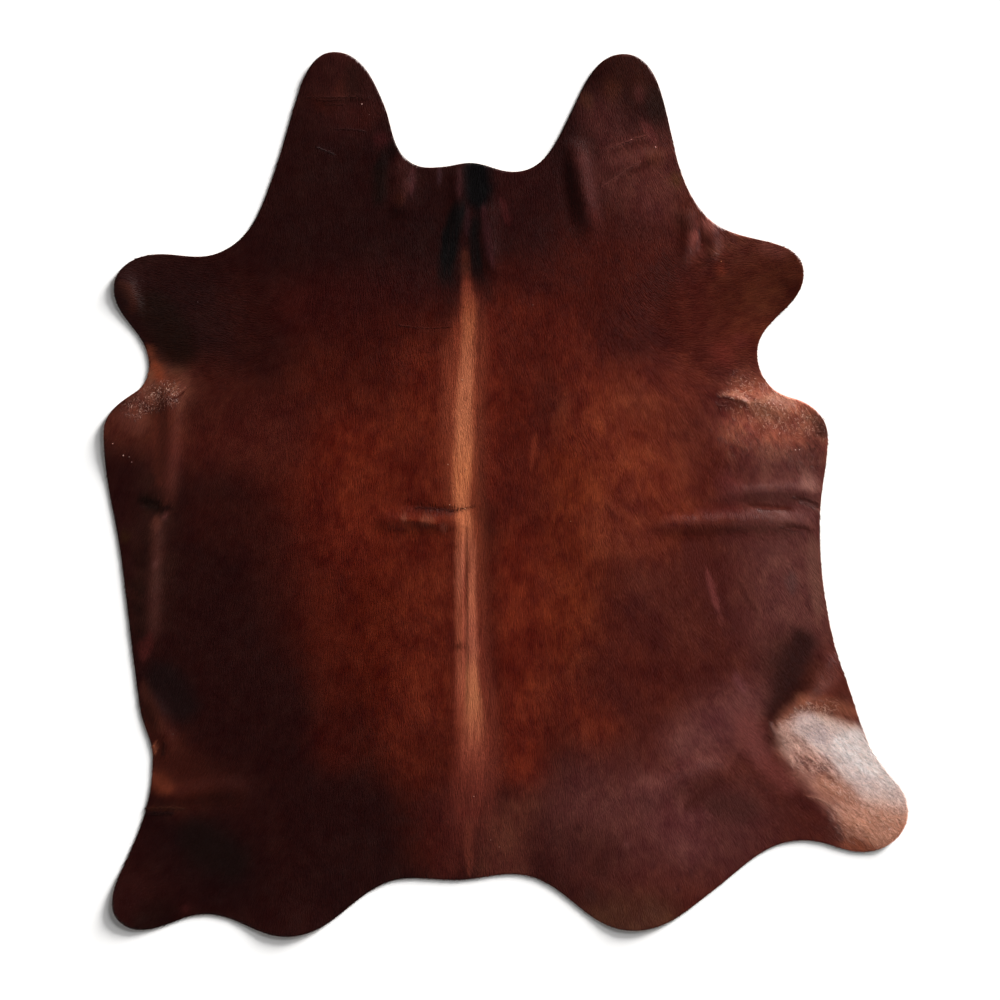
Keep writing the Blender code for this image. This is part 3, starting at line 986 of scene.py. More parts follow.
# %% Bellies and flanks
BELLIES = (
    ("right light patch", 622, 208, 680, 198, 6, 36, 0.65, 162, 98, 76),
    ("right lower light", 640, 150, 740, 134, 6, 34, 0.55, 162, 84, 62),
    ("right tuck", 622, 172, 648, 160, 4, 20, 0.6, 110, 50, 38),
    ("right tip shade", 790, 176, 798, 150, 4, 26, 0.7, 60, 30, 23),
    ("right tip", 740, 202, 772, 190, 8, 28, 0.5, 130, 80, 62),
    ("right tip dark", 774, 196, 790, 178, 6, 28, 0.6, 78, 40, 31),
    ("right pale", 664, 238, 716, 228, 4, 26, 0.5, 184, 132, 114),
    ("right edge light", 750, 45, 765, 20, 10, 36, 0.8, 126, 82, 72),
    ("right flank red", 552, 30, 570, -5, 10, 50, 0.6, 94, 42, 40),
    ("right crease shade", 610, -28, 715, -38, 3, 15, 0.6, 74, 30, 23),
    ("right crease shade second", 630, -54, 690, -54, 4, 18, 0.5, 80, 40, 32),
    ("right crease shade inner", 485, -40, 588, -42, 6, 26, 0.5, 76, 29, 26),
    ("right flank ridge inner", 455, -67, 572, -78, 2, 18, 0.3, 100, 46, 38),
    ("right flank ridge", 572, -78, 680, -84, 2, 18, 0.4, 112, 60, 52),
    ("right shade under it", 530, -106, 680, -108, 4, 20, 0.4, 82, 36, 32),
    ("right flank dark", 465, -135, 510, -240, 20, 48, 0.8, 72, 29, 24),
    ("right slant light", 502, -190, 530, -290, 2, 13, 0.6, 118, 59, 56),
    ("right slant light lower", 532, -295, 538, -325, 1, 11, 0.4, 112, 57, 50),
    ("right slant dark", 582, -220, 598, -256, 2, 11, 0.5, 64, 27, 22),
    ("right slant dark lower", 598, -256, 625, -292, 2, 11, 0.6, 60, 25, 21),
    ("right edge strip", 766, -110, 782, -290, 10, 28, 0.8, 104, 64, 54),
    ("right edge nick", 756, -250, 757, -282, 1, 10, 0.6, 68, 33, 31),
    ("right grey", 715, -200, 716, -242, 6, 22, 0.6, 80, 52, 50),
    ("right notch", 737, -352, 750, -392, 6, 34, 0.8, 48, 24, 21),
    ("right notch lower", 702, -404, 700, -462, 10, 46, 0.5, 55, 27, 23),
    ("right notch rust", 752, -448, 758, -456, 4, 36, 0.5, 82, 36, 28),
    ("right thigh strand", 575, -450, 594, -490, 3, 22, 0.5, 104, 56, 58),
    ("left rust", -860, 286, -850, 272, 3, 24, 0.5, 100, 44, 31),
    ("left corner shade", -842, 294, -822, 282, 4, 26, 0.6, 62, 27, 19),
    ("left ridge belly", -846, 232, -862, 150, 8, 34, 0.55, 77, 34, 27),
    ("left ridge middle", -850, 135, -851, 40, 12, 56, 0.55, 70, 31, 26),
    ("left ridge lower", -850, 48, -852, -26, 10, 44, 0.55, 67, 31, 25),
    ("left hollow", -866, 200, -868, 30, 4, 22, 0.5, 88, 40, 30),
    ("left lobe light", -948, 200, -918, 170, 6, 40, 0.6, 84, 44, 36),
    ("left lobe bright", -926, 214, -898, 182, 4, 30, 0.6, 98, 52, 40),
    ("left glint bed", -900, 262, -884, 240, 8, 34, 0.6, 112, 64, 50),
    ("left pinch", -910, -12, -860, -38, 5, 26, 0.9, 22, 14, 12),
    ("left pinch tip", -860, -32, -832, -34, 2, 10, 0.9, 24, 13, 12),
    ("left pinch plum", -855, -53, -848, -57, 3, 13, 0.8, 80, 44, 42),
    ("left low ridge top", -873, -60, -874, -88, 3, 22, 0.6, 82, 43, 34),
    ("left low ridge", -875, -85, -875, -172, 3, 28, 0.55, 60, 31, 26),
    ("left low ridge spot", -876, -172, -875, -178, 3, 11, 0.8, 86, 54, 50),
    ("left low ridge tail", -880, -176, -884, -350, 6, 36, 0.5, 53, 27, 24),
    ("left low ridge end", -892, -355, -906, -410, 8, 24, 0.8, 62, 26, 24),
    ("left olive", -954, -95, -950, -115, 2, 22, 0.4, 48, 32, 16),
)
print(len(BELLIES), "strokes on bellies and flanks")

# %% [markdown]
# ### The rump and the left hind leg
#
# The rump is the plainest part: plum, partly painted sheen, with smudges of a darker brown.

# %% Rump and left hind leg
RUMP = (
    ("slant dark", 452, -782, 500, -745, 5, 20, 0.8, 62, 27, 23),
    ("slant dark upper", 500, -745, 542, -717, 4, 18, 0.7, 64, 28, 25),
    ("band dark", 525, -775, 605, -790, 16, 50, 0.8, 64, 32, 28),
    ("light streak", 436, -816, 512, -800, 1, 13, 0.4, 106, 58, 56),
    ("smudge by the back", 352, -682, 356, -684, 6, 26, 0.7, 70, 28, 26),
    ("smudge left upper", 180, -832, 184, -836, 6, 18, 0.8, 54, 24, 22),
    ("smudge left", 170, -868, 163, -912, 8, 24, 0.8, 57, 26, 24),
    ("smudge middle", 254, -854, 262, -856, 5, 18, 0.7, 62, 29, 26),
    ("smudge lower", 222, -930, 240, -942, 12, 36, 0.9, 58, 26, 22),
    ("smudge inner", 366, -924, 368, -930, 5, 17, 0.7, 62, 28, 28),
    ("smudge outer", 462, -940, 468, -944, 4, 18, 0.7, 62, 28, 28),
    ("smudge lobe", 429, -986, 430, -990, 4, 15, 0.8, 58, 26, 26),
    ("smudge lobe left", 210, -995, 214, -1005, 10, 30, 0.9, 56, 28, 24),
    ("smudge light", 302, -870, 304, -880, 6, 21, 0.7, 92, 52, 48),
    ("left strip top", -905, -475, -874, -555, 8, 23, 0.9, 58, 28, 22),
    ("left strip", -872, -558, -857, -595, 6, 20, 0.8, 58, 28, 22),
    ("left black", -860, -455, -810, -530, 30, 70, 0.8, 24, 16, 16),
    ("left rim orange", -878, -624, -876, -645, 3, 11, 0.9, 128, 70, 50),
    ("left brown", -882, -708, -842, -735, 12, 36, 0.9, 86, 39, 26),
    ("left red", -810, -680, -700, -740, 30, 90, 0.5, 46, 20, 16),
    ("left foot black", -770, -860, -690, -915, 30, 80, 0.9, 23, 15, 14),
    ("left foot red", -800, -1030, -798, -1040, 2, 20, 0.5, 60, 25, 24),
)
print(len(RUMP), "strokes on the rump and the left hind leg")

# %% [markdown]
# ### The bleached hock
#
# The right hind leg is nearly white above the heel, with wavy clumps of darker hair, and orange at
# the heel. The dark notch above the patch is painted shade of a hollow, and the plum beside and
# below it is partly painted sheen.

# %% The hock's patch
HOCK = (
    ("above it", 770, -455, 850, -520, 20, 70, 0.6, 88, 44, 34),
    ("notch", 742, -370, 674, -548, 8, 56, 0.85, 44, 20, 18, 6),
    ("plum beside it", 595, -570, 640, -655, 12, 52, 0.95, 105, 54, 49),
    ("plum below it", 645, -675, 710, -730, 8, 40, 0.8, 103, 50, 44),
    ("whole patch", 744, -618, 938, -820, 54, 94, 1.0, 180, 128, 111),
    ("tan fringe", 690, -572, 742, -522, 6, 36, 0.8, 134, 80, 62),
    ("left rim of it", 700, -590, 726, -655, 14, 44, 1.0, 190, 144, 130),
    ("white band", 765, -586, 972, -770, 26, 62, 1.0, 214, 192, 188),
    ("white band upper", 738, -575, 860, -606, 14, 44, 0.85, 202, 176, 171),
    ("upper edge", 790, -562, 890, -614, 10, 24, 0.85, 204, 176, 168),
    ("heart", 845, -622, 920, -680, 20, 52, 1.0, 228, 216, 214),
    ("lavender", 768, -600, 800, -606, 8, 34, 0.4, 182, 164, 168),
    ("clump", 734, -664, 798, -686, 12, 44, 0.7, 152, 102, 90),
    ("below the clump", 796, -720, 856, -768, 14, 42, 0.7, 166, 106, 84),
    ("heel light", 930, -755, 985, -800, 26, 60, 0.8, 212, 184, 176),
    ("edge light", 876, -590, 965, -722, 8, 34, 0.75, 220, 206, 202),
    ("heel", 880, -832, 985, -838, 34, 86, 0.95, 196, 132, 106),
    ("heel edge", 850, -862, 905, -888, 10, 36, 0.85, 116, 60, 42),
    ("heel shade", 846, -828, 872, -842, 4, 28, 0.55, 122, 66, 46),
    ("stain", 808, -832, 828, -858, 8, 34, 0.8, 70, 30, 24),
    ("rim", 778, -548, 878, -582, 3, 18, 0.5, 200, 158, 136),
    ("tan tufts", 742, -512, 868, -545, 8, 34, 0.65, 138, 80, 58),
)
print(len(HOCK), "strokes on the hock")

# %% [markdown]
# ### Fine lines
#
# The narrowest marks are where the hair is parted at creases and wrinkles: painted shade in a
# crease, and a painted highlight along a wrinkle's top. They are too thin for the net of the sheet,
# so each is also brushed on later with its own short locks.

# %% Fine lines
FINE = (
    ("knot arm left", -228, -34, -140, -40, 0.6, 5, 0.6, 44, 16, 13, 3),
    ("knot wedge left", -142, -42, -108, -37, 1, 6, 0.75, 46, 18, 14),
    ("knot wedge right", -106, -37, -72, -26, 0.8, 5.5, 0.5, 66, 27, 19),
    ("lobe wrinkle left", -498, 992, -374, 993, 0.3, 5, 0.45, 66, 32, 27),
    ("lobe wrinkle left second", -470, 985, -400, 985, 0.3, 4.5, 0.35, 60, 28, 24),
    ("lobe wrinkle left third", -450, 975, -402, 974, 0.3, 4.5, 0.35, 58, 26, 22),
    ("lobe scratch left", -472, 868, -425, 848, 0.2, 4, 0.45, 60, 42, 41),
    ("lobe scratch left upper", -425, 912, -348, 905, 0.2, 4, 0.35, 54, 30, 29, 4),
    ("lobe wrinkle right", 250, 860, 315, 886, 0.3, 4.5, 0.55, 116, 66, 60),
    ("lobe wrinkle right end", 315, 886, 356, 898, 0.3, 4.5, 0.4, 108, 58, 50),
    ("lobe wrinkle right lower", 235, 765, 340, 836, 0.3, 4.5, 0.60, 116, 66, 60),
    ("belly shade left", -838, 236, -802, 258, 0.6, 6, 0.7, 50, 19, 15, -4),
    ("armpit crease top", 482, 662, 487, 646, 0.8, 6, 0.9, 54, 18, 15),
    ("armpit crease", 487, 646, 480, 628, 0.9, 6, 0.9, 52, 17, 14),
    ("armpit crease end", 480, 628, 478, 604, 0.7, 5.5, 0.7, 56, 20, 16),
    ("belly wrinkle right", 536, 244, 575, 256, 1, 8.5, 0.65, 165, 110, 88),
    ("belly wrinkle right fall", 575, 256, 601, 228, 1, 8.5, 0.65, 165, 110, 88),
    ("belly wrinkle right rise", 601, 228, 678, 247, 1, 8.5, 0.6, 165, 112, 90, -4),
    ("belly shadow right", 535, 238, 592, 222, 2, 12, 0.6, 90, 36, 28),
    ("flank crease upper", 718, -8, 751, -22, 1, 7, 0.8, 62, 27, 22),
    ("flank crease upper end", 751, -22, 785, -34, 1, 6.5, 0.85, 60, 26, 21),
    ("flank crease middle", 616, -26, 640, -36, 0.8, 6.5, 0.5, 72, 30, 23),
    ("flank crease middle end", 640, -37, 714, -36, 0.8, 7, 0.6, 72, 29, 23),
    ("flank crease lower", 686, -80, 713, -87, 1, 7.2, 0.85, 70, 30, 26),
    ("flank crease lower end", 713, -87, 766, -92, 1, 7, 0.85, 72, 32, 28),
    ("belly wrinkle left", -842, 246, -800, 268, 0.6, 5.5, 0.6, 120, 70, 58, -4),
    ("shoulder line left", -265, 423, -132, 420, 0.3, 4.5, 0.35, 72, 30, 24, -6),
    ("hind leg line", -900, -786, -800, -786, 0.5, 5.5, 0.5, 72, 38, 25, 2),
    ("hind leg line shade", -898, -798, -830, -797, 1, 8.5, 0.5, 28, 15, 14),
    ("hind leg crease", -853, -620, -856, -655, 0.5, 5.5, 0.5, 34, 14, 12),
    ("notch light", 663, -572, 676, -602, 0.6, 7, 0.4, 160, 116, 106),
    ("hock strand", 752, -755, 836, -800, 0.4, 5.5, 0.3, 180, 128, 106, 10),
)
print(len(FINE), "fine lines")

# %% [markdown]
# ### Specks
#
# A few bright specks are painted highlights, small glints on the hair. They too get locks of their
# own.

# %% Specks
SPECK_COLUMNS = ("speck", "x", "y", "radius", "red", "green", "blue")
SPECKS = (
    ("left lobe", -360, 975, 3, 178, 132, 122),
    ("left lobe second", -342, 948, 1.6, 112, 62, 56),
    ("left lobe third", -330, 940, 1.4, 92, 50, 50),
    ("right lobe", 314, 886, 1.8, 196, 134, 124),
    ("right lobe second", 374, 867, 2.6, 236, 158, 146),
    ("shoulder", 538, 581, 2.2, 200, 116, 72),
    ("shoulder red", 490, 623, 3, 154, 68, 58),
    ("foreleg", 462, 352, 2.2, 134, 58, 46),
    ("foreleg left", -770, 480, 1.8, 92, 72, 72),
    ("beside the back", 68, 473, 2, 120, 60, 44),
    ("back", -109, 285, 1.8, 205, 160, 130),
    ("back second", -145, 73, 2, 200, 140, 110),
    ("back third", -100, 62, 1.8, 205, 150, 116),
    ("knot", -141, -27, 2, 200, 140, 110),
    ("knot second", -102, -37, 2, 214, 160, 128),
    ("right of the knot", 162, -68, 2.2, 160, 90, 60),
    ("back lower", -80, -756, 2.2, 170, 110, 92),
    ("tail", -38, -865, 1.8, 150, 96, 82),
    ("tail second", -16, -882, 1.8, 150, 96, 82),
    ("belly left", -982, 126, 2.2, 186, 134, 118),
    ("belly left second", -956, 96, 2.6, 196, 150, 138),
    ("belly left third", -941, 93, 2, 180, 140, 130),
    ("belly left fourth", -935, 80, 2, 150, 104, 100),
    ("belly right", 724, 110, 2.4, 222, 176, 160),
    ("belly right second", 734, 111, 2, 214, 166, 150),
    ("hock", 910, -820, 2.6, 240, 206, 186),
    ("hock second", 958, -838, 2.4, 236, 200, 178),
    ("hind leg", -832, -600, 1.6, 100, 74, 66),
)
SPECK_SIZE = 0.65        # of the radius in the table
SPECK_SHADE = 0.85
SPECK_LOCKS = 4
print(len(SPECKS), "specks")

# %% [markdown]
# ### Crimped hair
#
# Long pale hair lies in fine wavy strands, painted lighter on their tops as highlight and darker
# between as shade. They run along the hock, and waves of noise bend them.

# %% Crimped hair
CRIMP_WAY = (0.76, -0.65)        # along the hock
CRIMP_BENDS = ((0.020, 0.045, 61), (0.008, 0.016, 62))   # how far, size and seed of each wave
CRIMP_LAYERS = ((0.22, 3.6, 1.0, 63), (0.35, 6.6, 0.6, 64))
CRIMP_HUE = np.array((0.85, 1.05, 1.05))
CRIMP_COLUMNS = ("place", "x0", "y0", "x1", "y1", "core", "fade", "strength")
CRIMPS = (
    ("whole patch", 750, -600, 960, -820, 60, 100, 0.08),
    ("clump", 738, -655, 810, -692, 14, 46, 0.36),
    ("belly right", 560, 215, 760, 165, 20, 90, 0.14),
    ("belly left", -930, 236, -820, 250, 10, 60, 0.12),
)


def crimped(x, y, shade):
    """The shades with fine wavy strands where the hair is crimped."""
    along = x * CRIMP_WAY[0] + y * CRIMP_WAY[1]
    across = y * CRIMP_WAY[0] - x * CRIMP_WAY[1]
    for far, size, seed in CRIMP_BENDS:
        across += far * lumps(x, y, size, seed)
    strength = np.zeros(len(x))
    for spot in rows(CRIMP_COLUMNS, CRIMPS):
        share = faded(from_line(x, y, spot)[1], spot["core"], spot["fade"])
        strength = np.maximum(strength, spot["strength"] * share)
    strands = layered(CRIMP_LAYERS, along, across)
    return shade * (1.0 + 2.0 * (strength * strands)[:, None] * CRIMP_HUE)


print(len(CRIMPS), "crimped places")

# %% [markdown]
# ### All the colours together
#
# The strokes are laid in order, from the broadest to the finest. Then the shade, which is how the
# place should look, becomes the linear value of a finish: how bright a white coat would look under
# these lamps is divided out, and the light that the gloss adds is taken off.

# %% The coat's colour
LIGHT = 1.01             # how bright a white coat would look under the lamps
GLOSS = 0.0031           # what the gloss adds to every colour
DARKEST = 0.0006         # linear value of a finish
PALEST = 0.95
# painted shade on the sheet, which shows between the locks
ROOT_SHADE = 0.95        # the coat is darker between the locks


def coat_colour(x, y):
    """The colour of the coat at these places, as it looks."""
    ragged = layered(RAGGED_LAYERS, x, y)
    shade = stroked(x, y, np.tile(display(BASE), (len(x), 1)), PATCHES, ragged)
    shade = mottled(x, y, shade)
    shade = stroked(x, y, shade, MANE, ragged)
    for stations in RIBBONS:
        shade = ribboned(x, y, shade, stations, ragged)
    for table in (BACK_END, KNOT, NECK, BELLIES, RUMP, HOCK, FINE):
        shade = stroked(x, y, shade, table, ragged)
    return np.clip(crimped(x, y, shade), 0.0, 1.0)


def linear_value(shade):
    """The light that a screen gives for this shade, by the sRGB standard."""
    return np.where(shade > 0.04045, ((shade + 0.055) / 1.055) ** 2.4, shade / 12.92)


def store_colours(mesh, shade):
    """Keeps the finish's linear colour for each point of a mesh."""
    finish = np.clip((linear_value(shade) - GLOSS) / LIGHT, DARKEST, PALEST)
    layer = mesh.color_attributes.new(name="coat", type="FLOAT_COLOR", domain="POINT")
    values = np.column_stack([finish, np.ones(len(shade))])
    layer.data.foreach_set("color", values.astype(np.float32).ravel())


def points_of(mesh):
    flat = np.zeros(3 * len(mesh.vertices))
    mesh.vertices.foreach_get("co", flat)
    return flat.reshape(-1, 3)


places = points_of(sheet.data)
sheet_shade = coat_colour(places[:, 0], places[:, 1]) * ROOT_SHADE
store_colours(sheet.data, sheet_shade)
print("the sheet's mean colour:", np.round(255.0 * sheet_shade.mean(axis=0)).astype(int).tolist())

# %% [markdown]
# ## Finishes
#
# The hair side reads its colour from the mesh and has a fine streaky bump, stretched along the
# back. The floor side and the cut edge are suede: tan, matt and felted.

# %% Finishes
HAIR_GLOSS = 0.14
HAIR_ROUGHNESS = 0.36
STREAK_SCALE = (900.0, 110.0, 300.0)     # a hair is long along the back and narrow across it
PATCH_SCALE = 40.0
SUEDE_TAN = (0.40, 0.26, 0.16, 1.0)
SUEDE_STAIN = (0.24, 0.14, 0.085, 1.0)
STAIN_SCALE = 7.0
NAP_SCALE = 420.0


def coat_finish(name, streaks):
    """Glossy short hair. The colour of each place is kept in the mesh."""
    material, shader, start = new_material(name, Specular_IOR_Level=HAIR_GLOSS)
    colour = start.node("ShaderNodeAttribute", {"attribute_name": "coat"})
    place = start.node("ShaderNodeTexCoord", output=3)
    along = place.node("ShaderNodeMapping", Vector=place, Scale=STREAK_SCALE)
    streak = along.noise(3.0, Scale=1.0, Roughness=0.6)
    patchy = place.noise(2.0, Scale=PATCH_SCALE, Roughness=0.5)
    feed(shader, "Base Color", colour.scaled(streak.swung(1.0, 0.12)))
    feed(shader, "Roughness", patchy.swung(HAIR_ROUGHNESS, 0.12))
    if streaks:
        feed(shader, "Normal", streak.bumped(0.35, 0.0006))
    return material


def suede_finish():
    """The flesh side: tan suede with a short nap and a few darker stains."""
    material, shader, start = new_material(
        "suede", Specular_IOR_Level=0.2, Sheen_Weight=0.3, Sheen_Roughness=0.5)
    place = start.node("ShaderNodeTexCoord", output=3)
    stain = place.noise(3.0, Scale=STAIN_SCALE, Roughness=0.6)
    nap = place.noise(4.0, Scale=NAP_SCALE, Roughness=0.7)
    colour = start.node("ShaderNodeMix", {"data_type": "RGBA"}, output=2, in0=stain,
                        in6=SUEDE_TAN, in7=SUEDE_STAIN)
    feed(shader, "Base Color", colour.scaled(nap.swung(1.0, 0.5)))
    feed(shader, "Roughness", nap.swung(0.875, 0.15))
    feed(shader, "Normal", nap.bumped(0.4, 0.0008))
    return material


sheet.data.materials.append(coat_finish("hair_bed", True))
sheet.data.materials.append(suede_finish())
LOCK_FINISH = coat_finish("hair_locks", False)
print("finishes:", [finish.name for finish in (*sheet.data.materials, LOCK_FINISH)])

# %% [markdown]
# ## The coat
#
# Short cow hair lies flat, and neighbouring hairs cling in small pointed locks. It points from the
# neck to the tail, fans out over the belly, and runs down each leg.

# %% The lie of the hair
LEG_COLUMNS = ("leg", "x0", "y0", "x1", "y1", "reach")
LEGS = (
    ("foreleg right", 520, 440, 780, 560, 260),
    ("foreleg left", -720, 440, -980, 540, 260),
    ("hind leg right", 720, -620, 1000, -840, 300),
    ("hind leg left", -740, -840, -980, -1060, 280),
)
LEG_PULL = 1.6           # how strongly the hair turns down a leg
LEG_LEAVE = 0.5          # and how much of its old way it leaves
FAN = 0.60               # how far the hair fans out at the belly
FAN_FULL = 0.95          # metres from the back line
SWIRL = 0.16
SWIRLS = ((0.11, 21), (0.045, 22))       # size and seed


def lay(x, y):
    """The way that the hair points, as unit vectors."""
    out = x - BACK_X
    across = FAN * np.sign(out) * eased(np.abs(out) / FAN_FULL)
    across += sum(SWIRL * (2.0 * lumps(x, y, size, seed) - 1.0) for size, seed in SWIRLS)
    way = np.column_stack([across, -np.ones(len(x))])
    for leg in rows(LEG_COLUMNS, LEGS):
        run = run_of(leg)
        share = faded(from_line(x, y, leg)[1], 0.0, leg["reach"])
        way += (share * LEG_PULL)[:, None] * (run / math.hypot(*run) - way * LEG_LEAVE)
    return way / np.linalg.norm(way, axis=1)[:, None]


def turned(way, angle):
    """Unit vectors turned anticlockwise by these angles."""
    return np.column_stack([way[:, 0] * np.cos(angle) - way[:, 1] * np.sin(angle),
                            way[:, 0] * np.sin(angle) + way[:, 1] * np.cos(angle)])


print("the hair runs down", len(LEGS), "legs")

# %% [markdown]
# ### Locks
#
# One lock is a closed sliver of four triangles: two feet, a low crown near its root and a sharp
# tip. Some hundred and sixty thousand of them cover the hide, so each is as plain as it can be.
# At the trimmed edge a real lock is cut off, so one that would reach out too far is made shorter.

# %% Sizes of a lock
LOCK_LENGTH = (0.012, 0.019)
LOCK_WIDTH = (0.0024, 0.0034)
CROWN = 0.00018          # how far the crown is over a lock's root, and its feet under it
CROWN_AT = 0.15          # of the length, from the root
ROOT_LIFT = 0.0002       # of a lock over the sheet
TIP_LIFT = (0.0004, 0.0007)
TURN = 0.14              # most that a lock turns from its neighbours, in radians
OVERHANG = 0.0030        # most that a tip may stand out past the cut edge
CUTS = 3                 # times that a lock is halved at most, until its tip is near enough
CORNERS = 4              # left foot, right foot, crown and tip
SLIVER = ((0, 1, 2), (0, 2, 3), (2, 1, 3), (0, 3, 1))
GRAIN = 0.05             # how much lighter or darker a single lock may be
# painted shade at a lock's feet and painted highlight at its tip
FOOT_SHADE = 0.97
TIP_HIGHLIGHT = 1.03
chance = np.random.default_rng(7)


def between(low_high, count):
    return chance.uniform(low_high[0], low_high[1], count)


def inside_by(x, y):
    """How far inside the edge each place lies, roughly. It is below zero outside."""
    ahead = np.roll(edge_line, -1, axis=0) - np.roll(edge_line, 1, axis=0)
    outward = np.column_stack([ahead[:, 1], -ahead[:, 0]])
    outward /= np.linalg.norm(outward, axis=1)[:, None]
    result = np.zeros(len(x))
    for number, (px, py) in enumerate(zip(x, y)):
        nearest = EDGE_TREE.find((px, py, 0.0))[1]
        result[number] = (edge_line[nearest] - (px, py)) @ outward[nearest]
    return result


print("locks", LOCK_LENGTH, "m long and", LOCK_WIDTH, "m wide")

# %% Corners of the locks


def lock_corners(roots, way, length, width, lift):
    """The corners of each lock. The first lift raises its feet and crown, the second its tip."""
    tips = roots + way * length[:, None]
    for _ in range(CUTS):
        out = inside_by(tips[:, 0], tips[:, 1]) < -OVERHANG
        length = np.where(out, length * 0.5, length)
        tips = roots + way * length[:, None]
    half = turned(way, np.full(len(roots), 0.5 * math.pi)) * (0.5 * width)[:, None]
    crown = roots + way * (CROWN_AT * length)[:, None]
    base = ROOT_LIFT + lift[0]
    corners = np.zeros((len(roots), CORNERS, 3))
    for number, (place, rise) in enumerate((
            (roots + half, base - CROWN), (roots - half, base - CROWN),
            (crown, base + CROWN), (tips, lift[1]))):
        corners[:, number, :2] = place
        corners[:, number, 2] = hair_side(place[:, 0], place[:, 1]) + rise
    return corners


def lock_mesh(name, corners):
    """One joined mesh of slivers."""
    count = len(corners)
    mesh = bpy.data.meshes.new(name)
    mesh.vertices.add(CORNERS * count)
    mesh.vertices.foreach_set("co", corners.ravel())
    first = CORNERS * np.arange(count)
    faces = (np.array(SLIVER)[None, :, :] + first[:, None, None]).reshape(-1, 3)
    mesh.loops.add(3 * len(faces))
    mesh.loops.foreach_set("vertex_index", faces.ravel().astype(np.int32))
    mesh.polygons.add(len(faces))
    starts = np.arange(0, 3 * len(faces), 3, dtype=np.int32)
    mesh.polygons.foreach_set("loop_start", starts)
    mesh.polygons.foreach_set("use_smooth", np.zeros(len(faces), dtype=bool))
    mesh.update(calc_edges=True)
    return mesh


def lock_shades(roots, tips):
    """The coat's colour at each lock's root and tip, with a grain of its own.

    Its feet get painted shade and its tip a painted highlight.
    """
    own = 1.0 + chance.uniform(-GRAIN, GRAIN, len(roots))[:, None]
    shade = np.zeros((len(roots), CORNERS, 3))
    shade[:, :3] = (coat_colour(roots[:, 0], roots[:, 1]) * own)[:, None, :]
    shade[:, :2] *= FOOT_SHADE
    shade[:, 3] = coat_colour(tips[:, 0], tips[:, 1]) * own * TIP_HIGHLIGHT
    return shade


def make_locks(name, roots, way, length, width, lift, tint=None):
    """A piece of locks in the coat's colour, which a tint may change."""
    corners = lock_corners(roots, way, length, width, lift)
    mesh = lock_mesh(name, corners)
    shade = lock_shades(roots, corners[:, 3])
    if tint is not None:
        shade = tint(shade)
    store_colours(mesh, np.clip(shade.reshape(-1, 3), 0.0, 1.0))
    mesh.materials.append(LOCK_FINISH)
    return add_piece(mesh)


print("a lock has", len(SLIVER), "triangles")

# %% [markdown]
# ### The whole coat
#
# The roots stand in staggered rows and stray a little. The coat is joined in four pieces, from the
# neck to the rump.

# %% The coat
LOCK_STEP = 0.0048       # from one root to the next
ROOT_CLEAR = 0.0012      # rows of roots end this far from the edge
ROOT_LEAST = 0.0008      # and none strays nearer than this
STRAY = 0.45             # how far a root strays, in the part of a step that is free
FREE = 0.8
PARTS = ("coat_neck", "coat_shoulders", "coat_flanks", "coat_rump")
PART_ENDS = (0.75, 0.5, 0.25)    # shares of the roots that lie below each cut


def coat_roots():
    roots = inside_points(LOCK_STEP, ROOT_CLEAR)
    roots = roots + chance.uniform(-STRAY, STRAY, roots.shape) * LOCK_STEP * FREE
    return roots[inside_by(roots[:, 0], roots[:, 1]) > ROOT_LEAST]


def plain_locks(name, roots):
    """Locks that lie with the hair, each turned a little."""
    count = len(roots)
    way = turned(lay(roots[:, 0], roots[:, 1]), chance.uniform(-TURN, TURN, count))
    return make_locks(name, roots, way, between(LOCK_LENGTH, count), between(LOCK_WIDTH, count),
                      (0.0, between(TIP_LIFT, count)))


roots = coat_roots()
part_of = np.searchsorted(-np.quantile(roots[:, 1], PART_ENDS), -roots[:, 1])
for number, name in enumerate(PARTS):
    piece = plain_locks(name, roots[part_of == number])
    print(name, len(piece.data.polygons), "triangles")

# %% [markdown]
# ## Partings, specks and ruffled hair
#
# A crease parts the pile, and the hair then lies along it. So each fine line gets short locks of
# its own that run along it, just over the coat, and they make the line sharp. They carry the
# painted shade and painted highlights of the fine lines.

# %% Locks along the fine lines
FINE_LENGTH = (0.004, 0.008)
FINE_WIDTH = (0.0010, 0.0018)
FINE_STEP = 0.0020       # along a very narrow line
FINE_MORE = 600.0        # more locks for each metre that a line is wide
FINE_LIFT = 0.0005


def along_lines():
    """Roots and directions of locks along the fine lines."""
    roots, ways = [], []
    for line in rows(STROKE_COLUMNS, FINE):
        run, bow = run_of(line), line.get("bow", 0.0)
        length = math.hypot(*run)
        wide = line["core"] + 0.5 * line["fade"]
        count = int(length / FINE_STEP * (1.0 + FINE_MORE * wide))
        along = chance.random(count)
        out = bow * (1.0 - (2.0 * along - 1.0) ** 2) + chance.normal(0.0, 0.5 * wide, count)
        side = np.array([-run[1], run[0]]) / length
        start = np.array([line["x0"], line["y0"]])
        roots.append(start + run * along[:, None] + side * out[:, None])
        slope = -4.0 * bow * (2.0 * along - 1.0) / length
        way = run / length + side * slope[:, None]
        way /= np.linalg.norm(way, axis=1)[:, None]
        ways.append(turned(way, chance.uniform(-TURN, TURN, count)))
    return np.vstack(roots), np.vstack(ways)


def over_coat(count):
    """Lifts for locks that lie on the coat."""
    return FINE_LIFT, between(TIP_LIFT, count) + FINE_LIFT


def fine_locks():
    roots, way = along_lines()
    count = len(roots)
    length = between(FINE_LENGTH, count)
    start = roots - way * (0.5 * length)[:, None]
    return make_locks("coat_lines", start, way, length, between(FINE_WIDTH, count),
                      over_coat(count))


print("coat_lines", len(fine_locks().data.polygons), "triangles")

# %% [markdown]
# A speck is a few bright locks across each other, like a small star.

# %% Locks of the specks


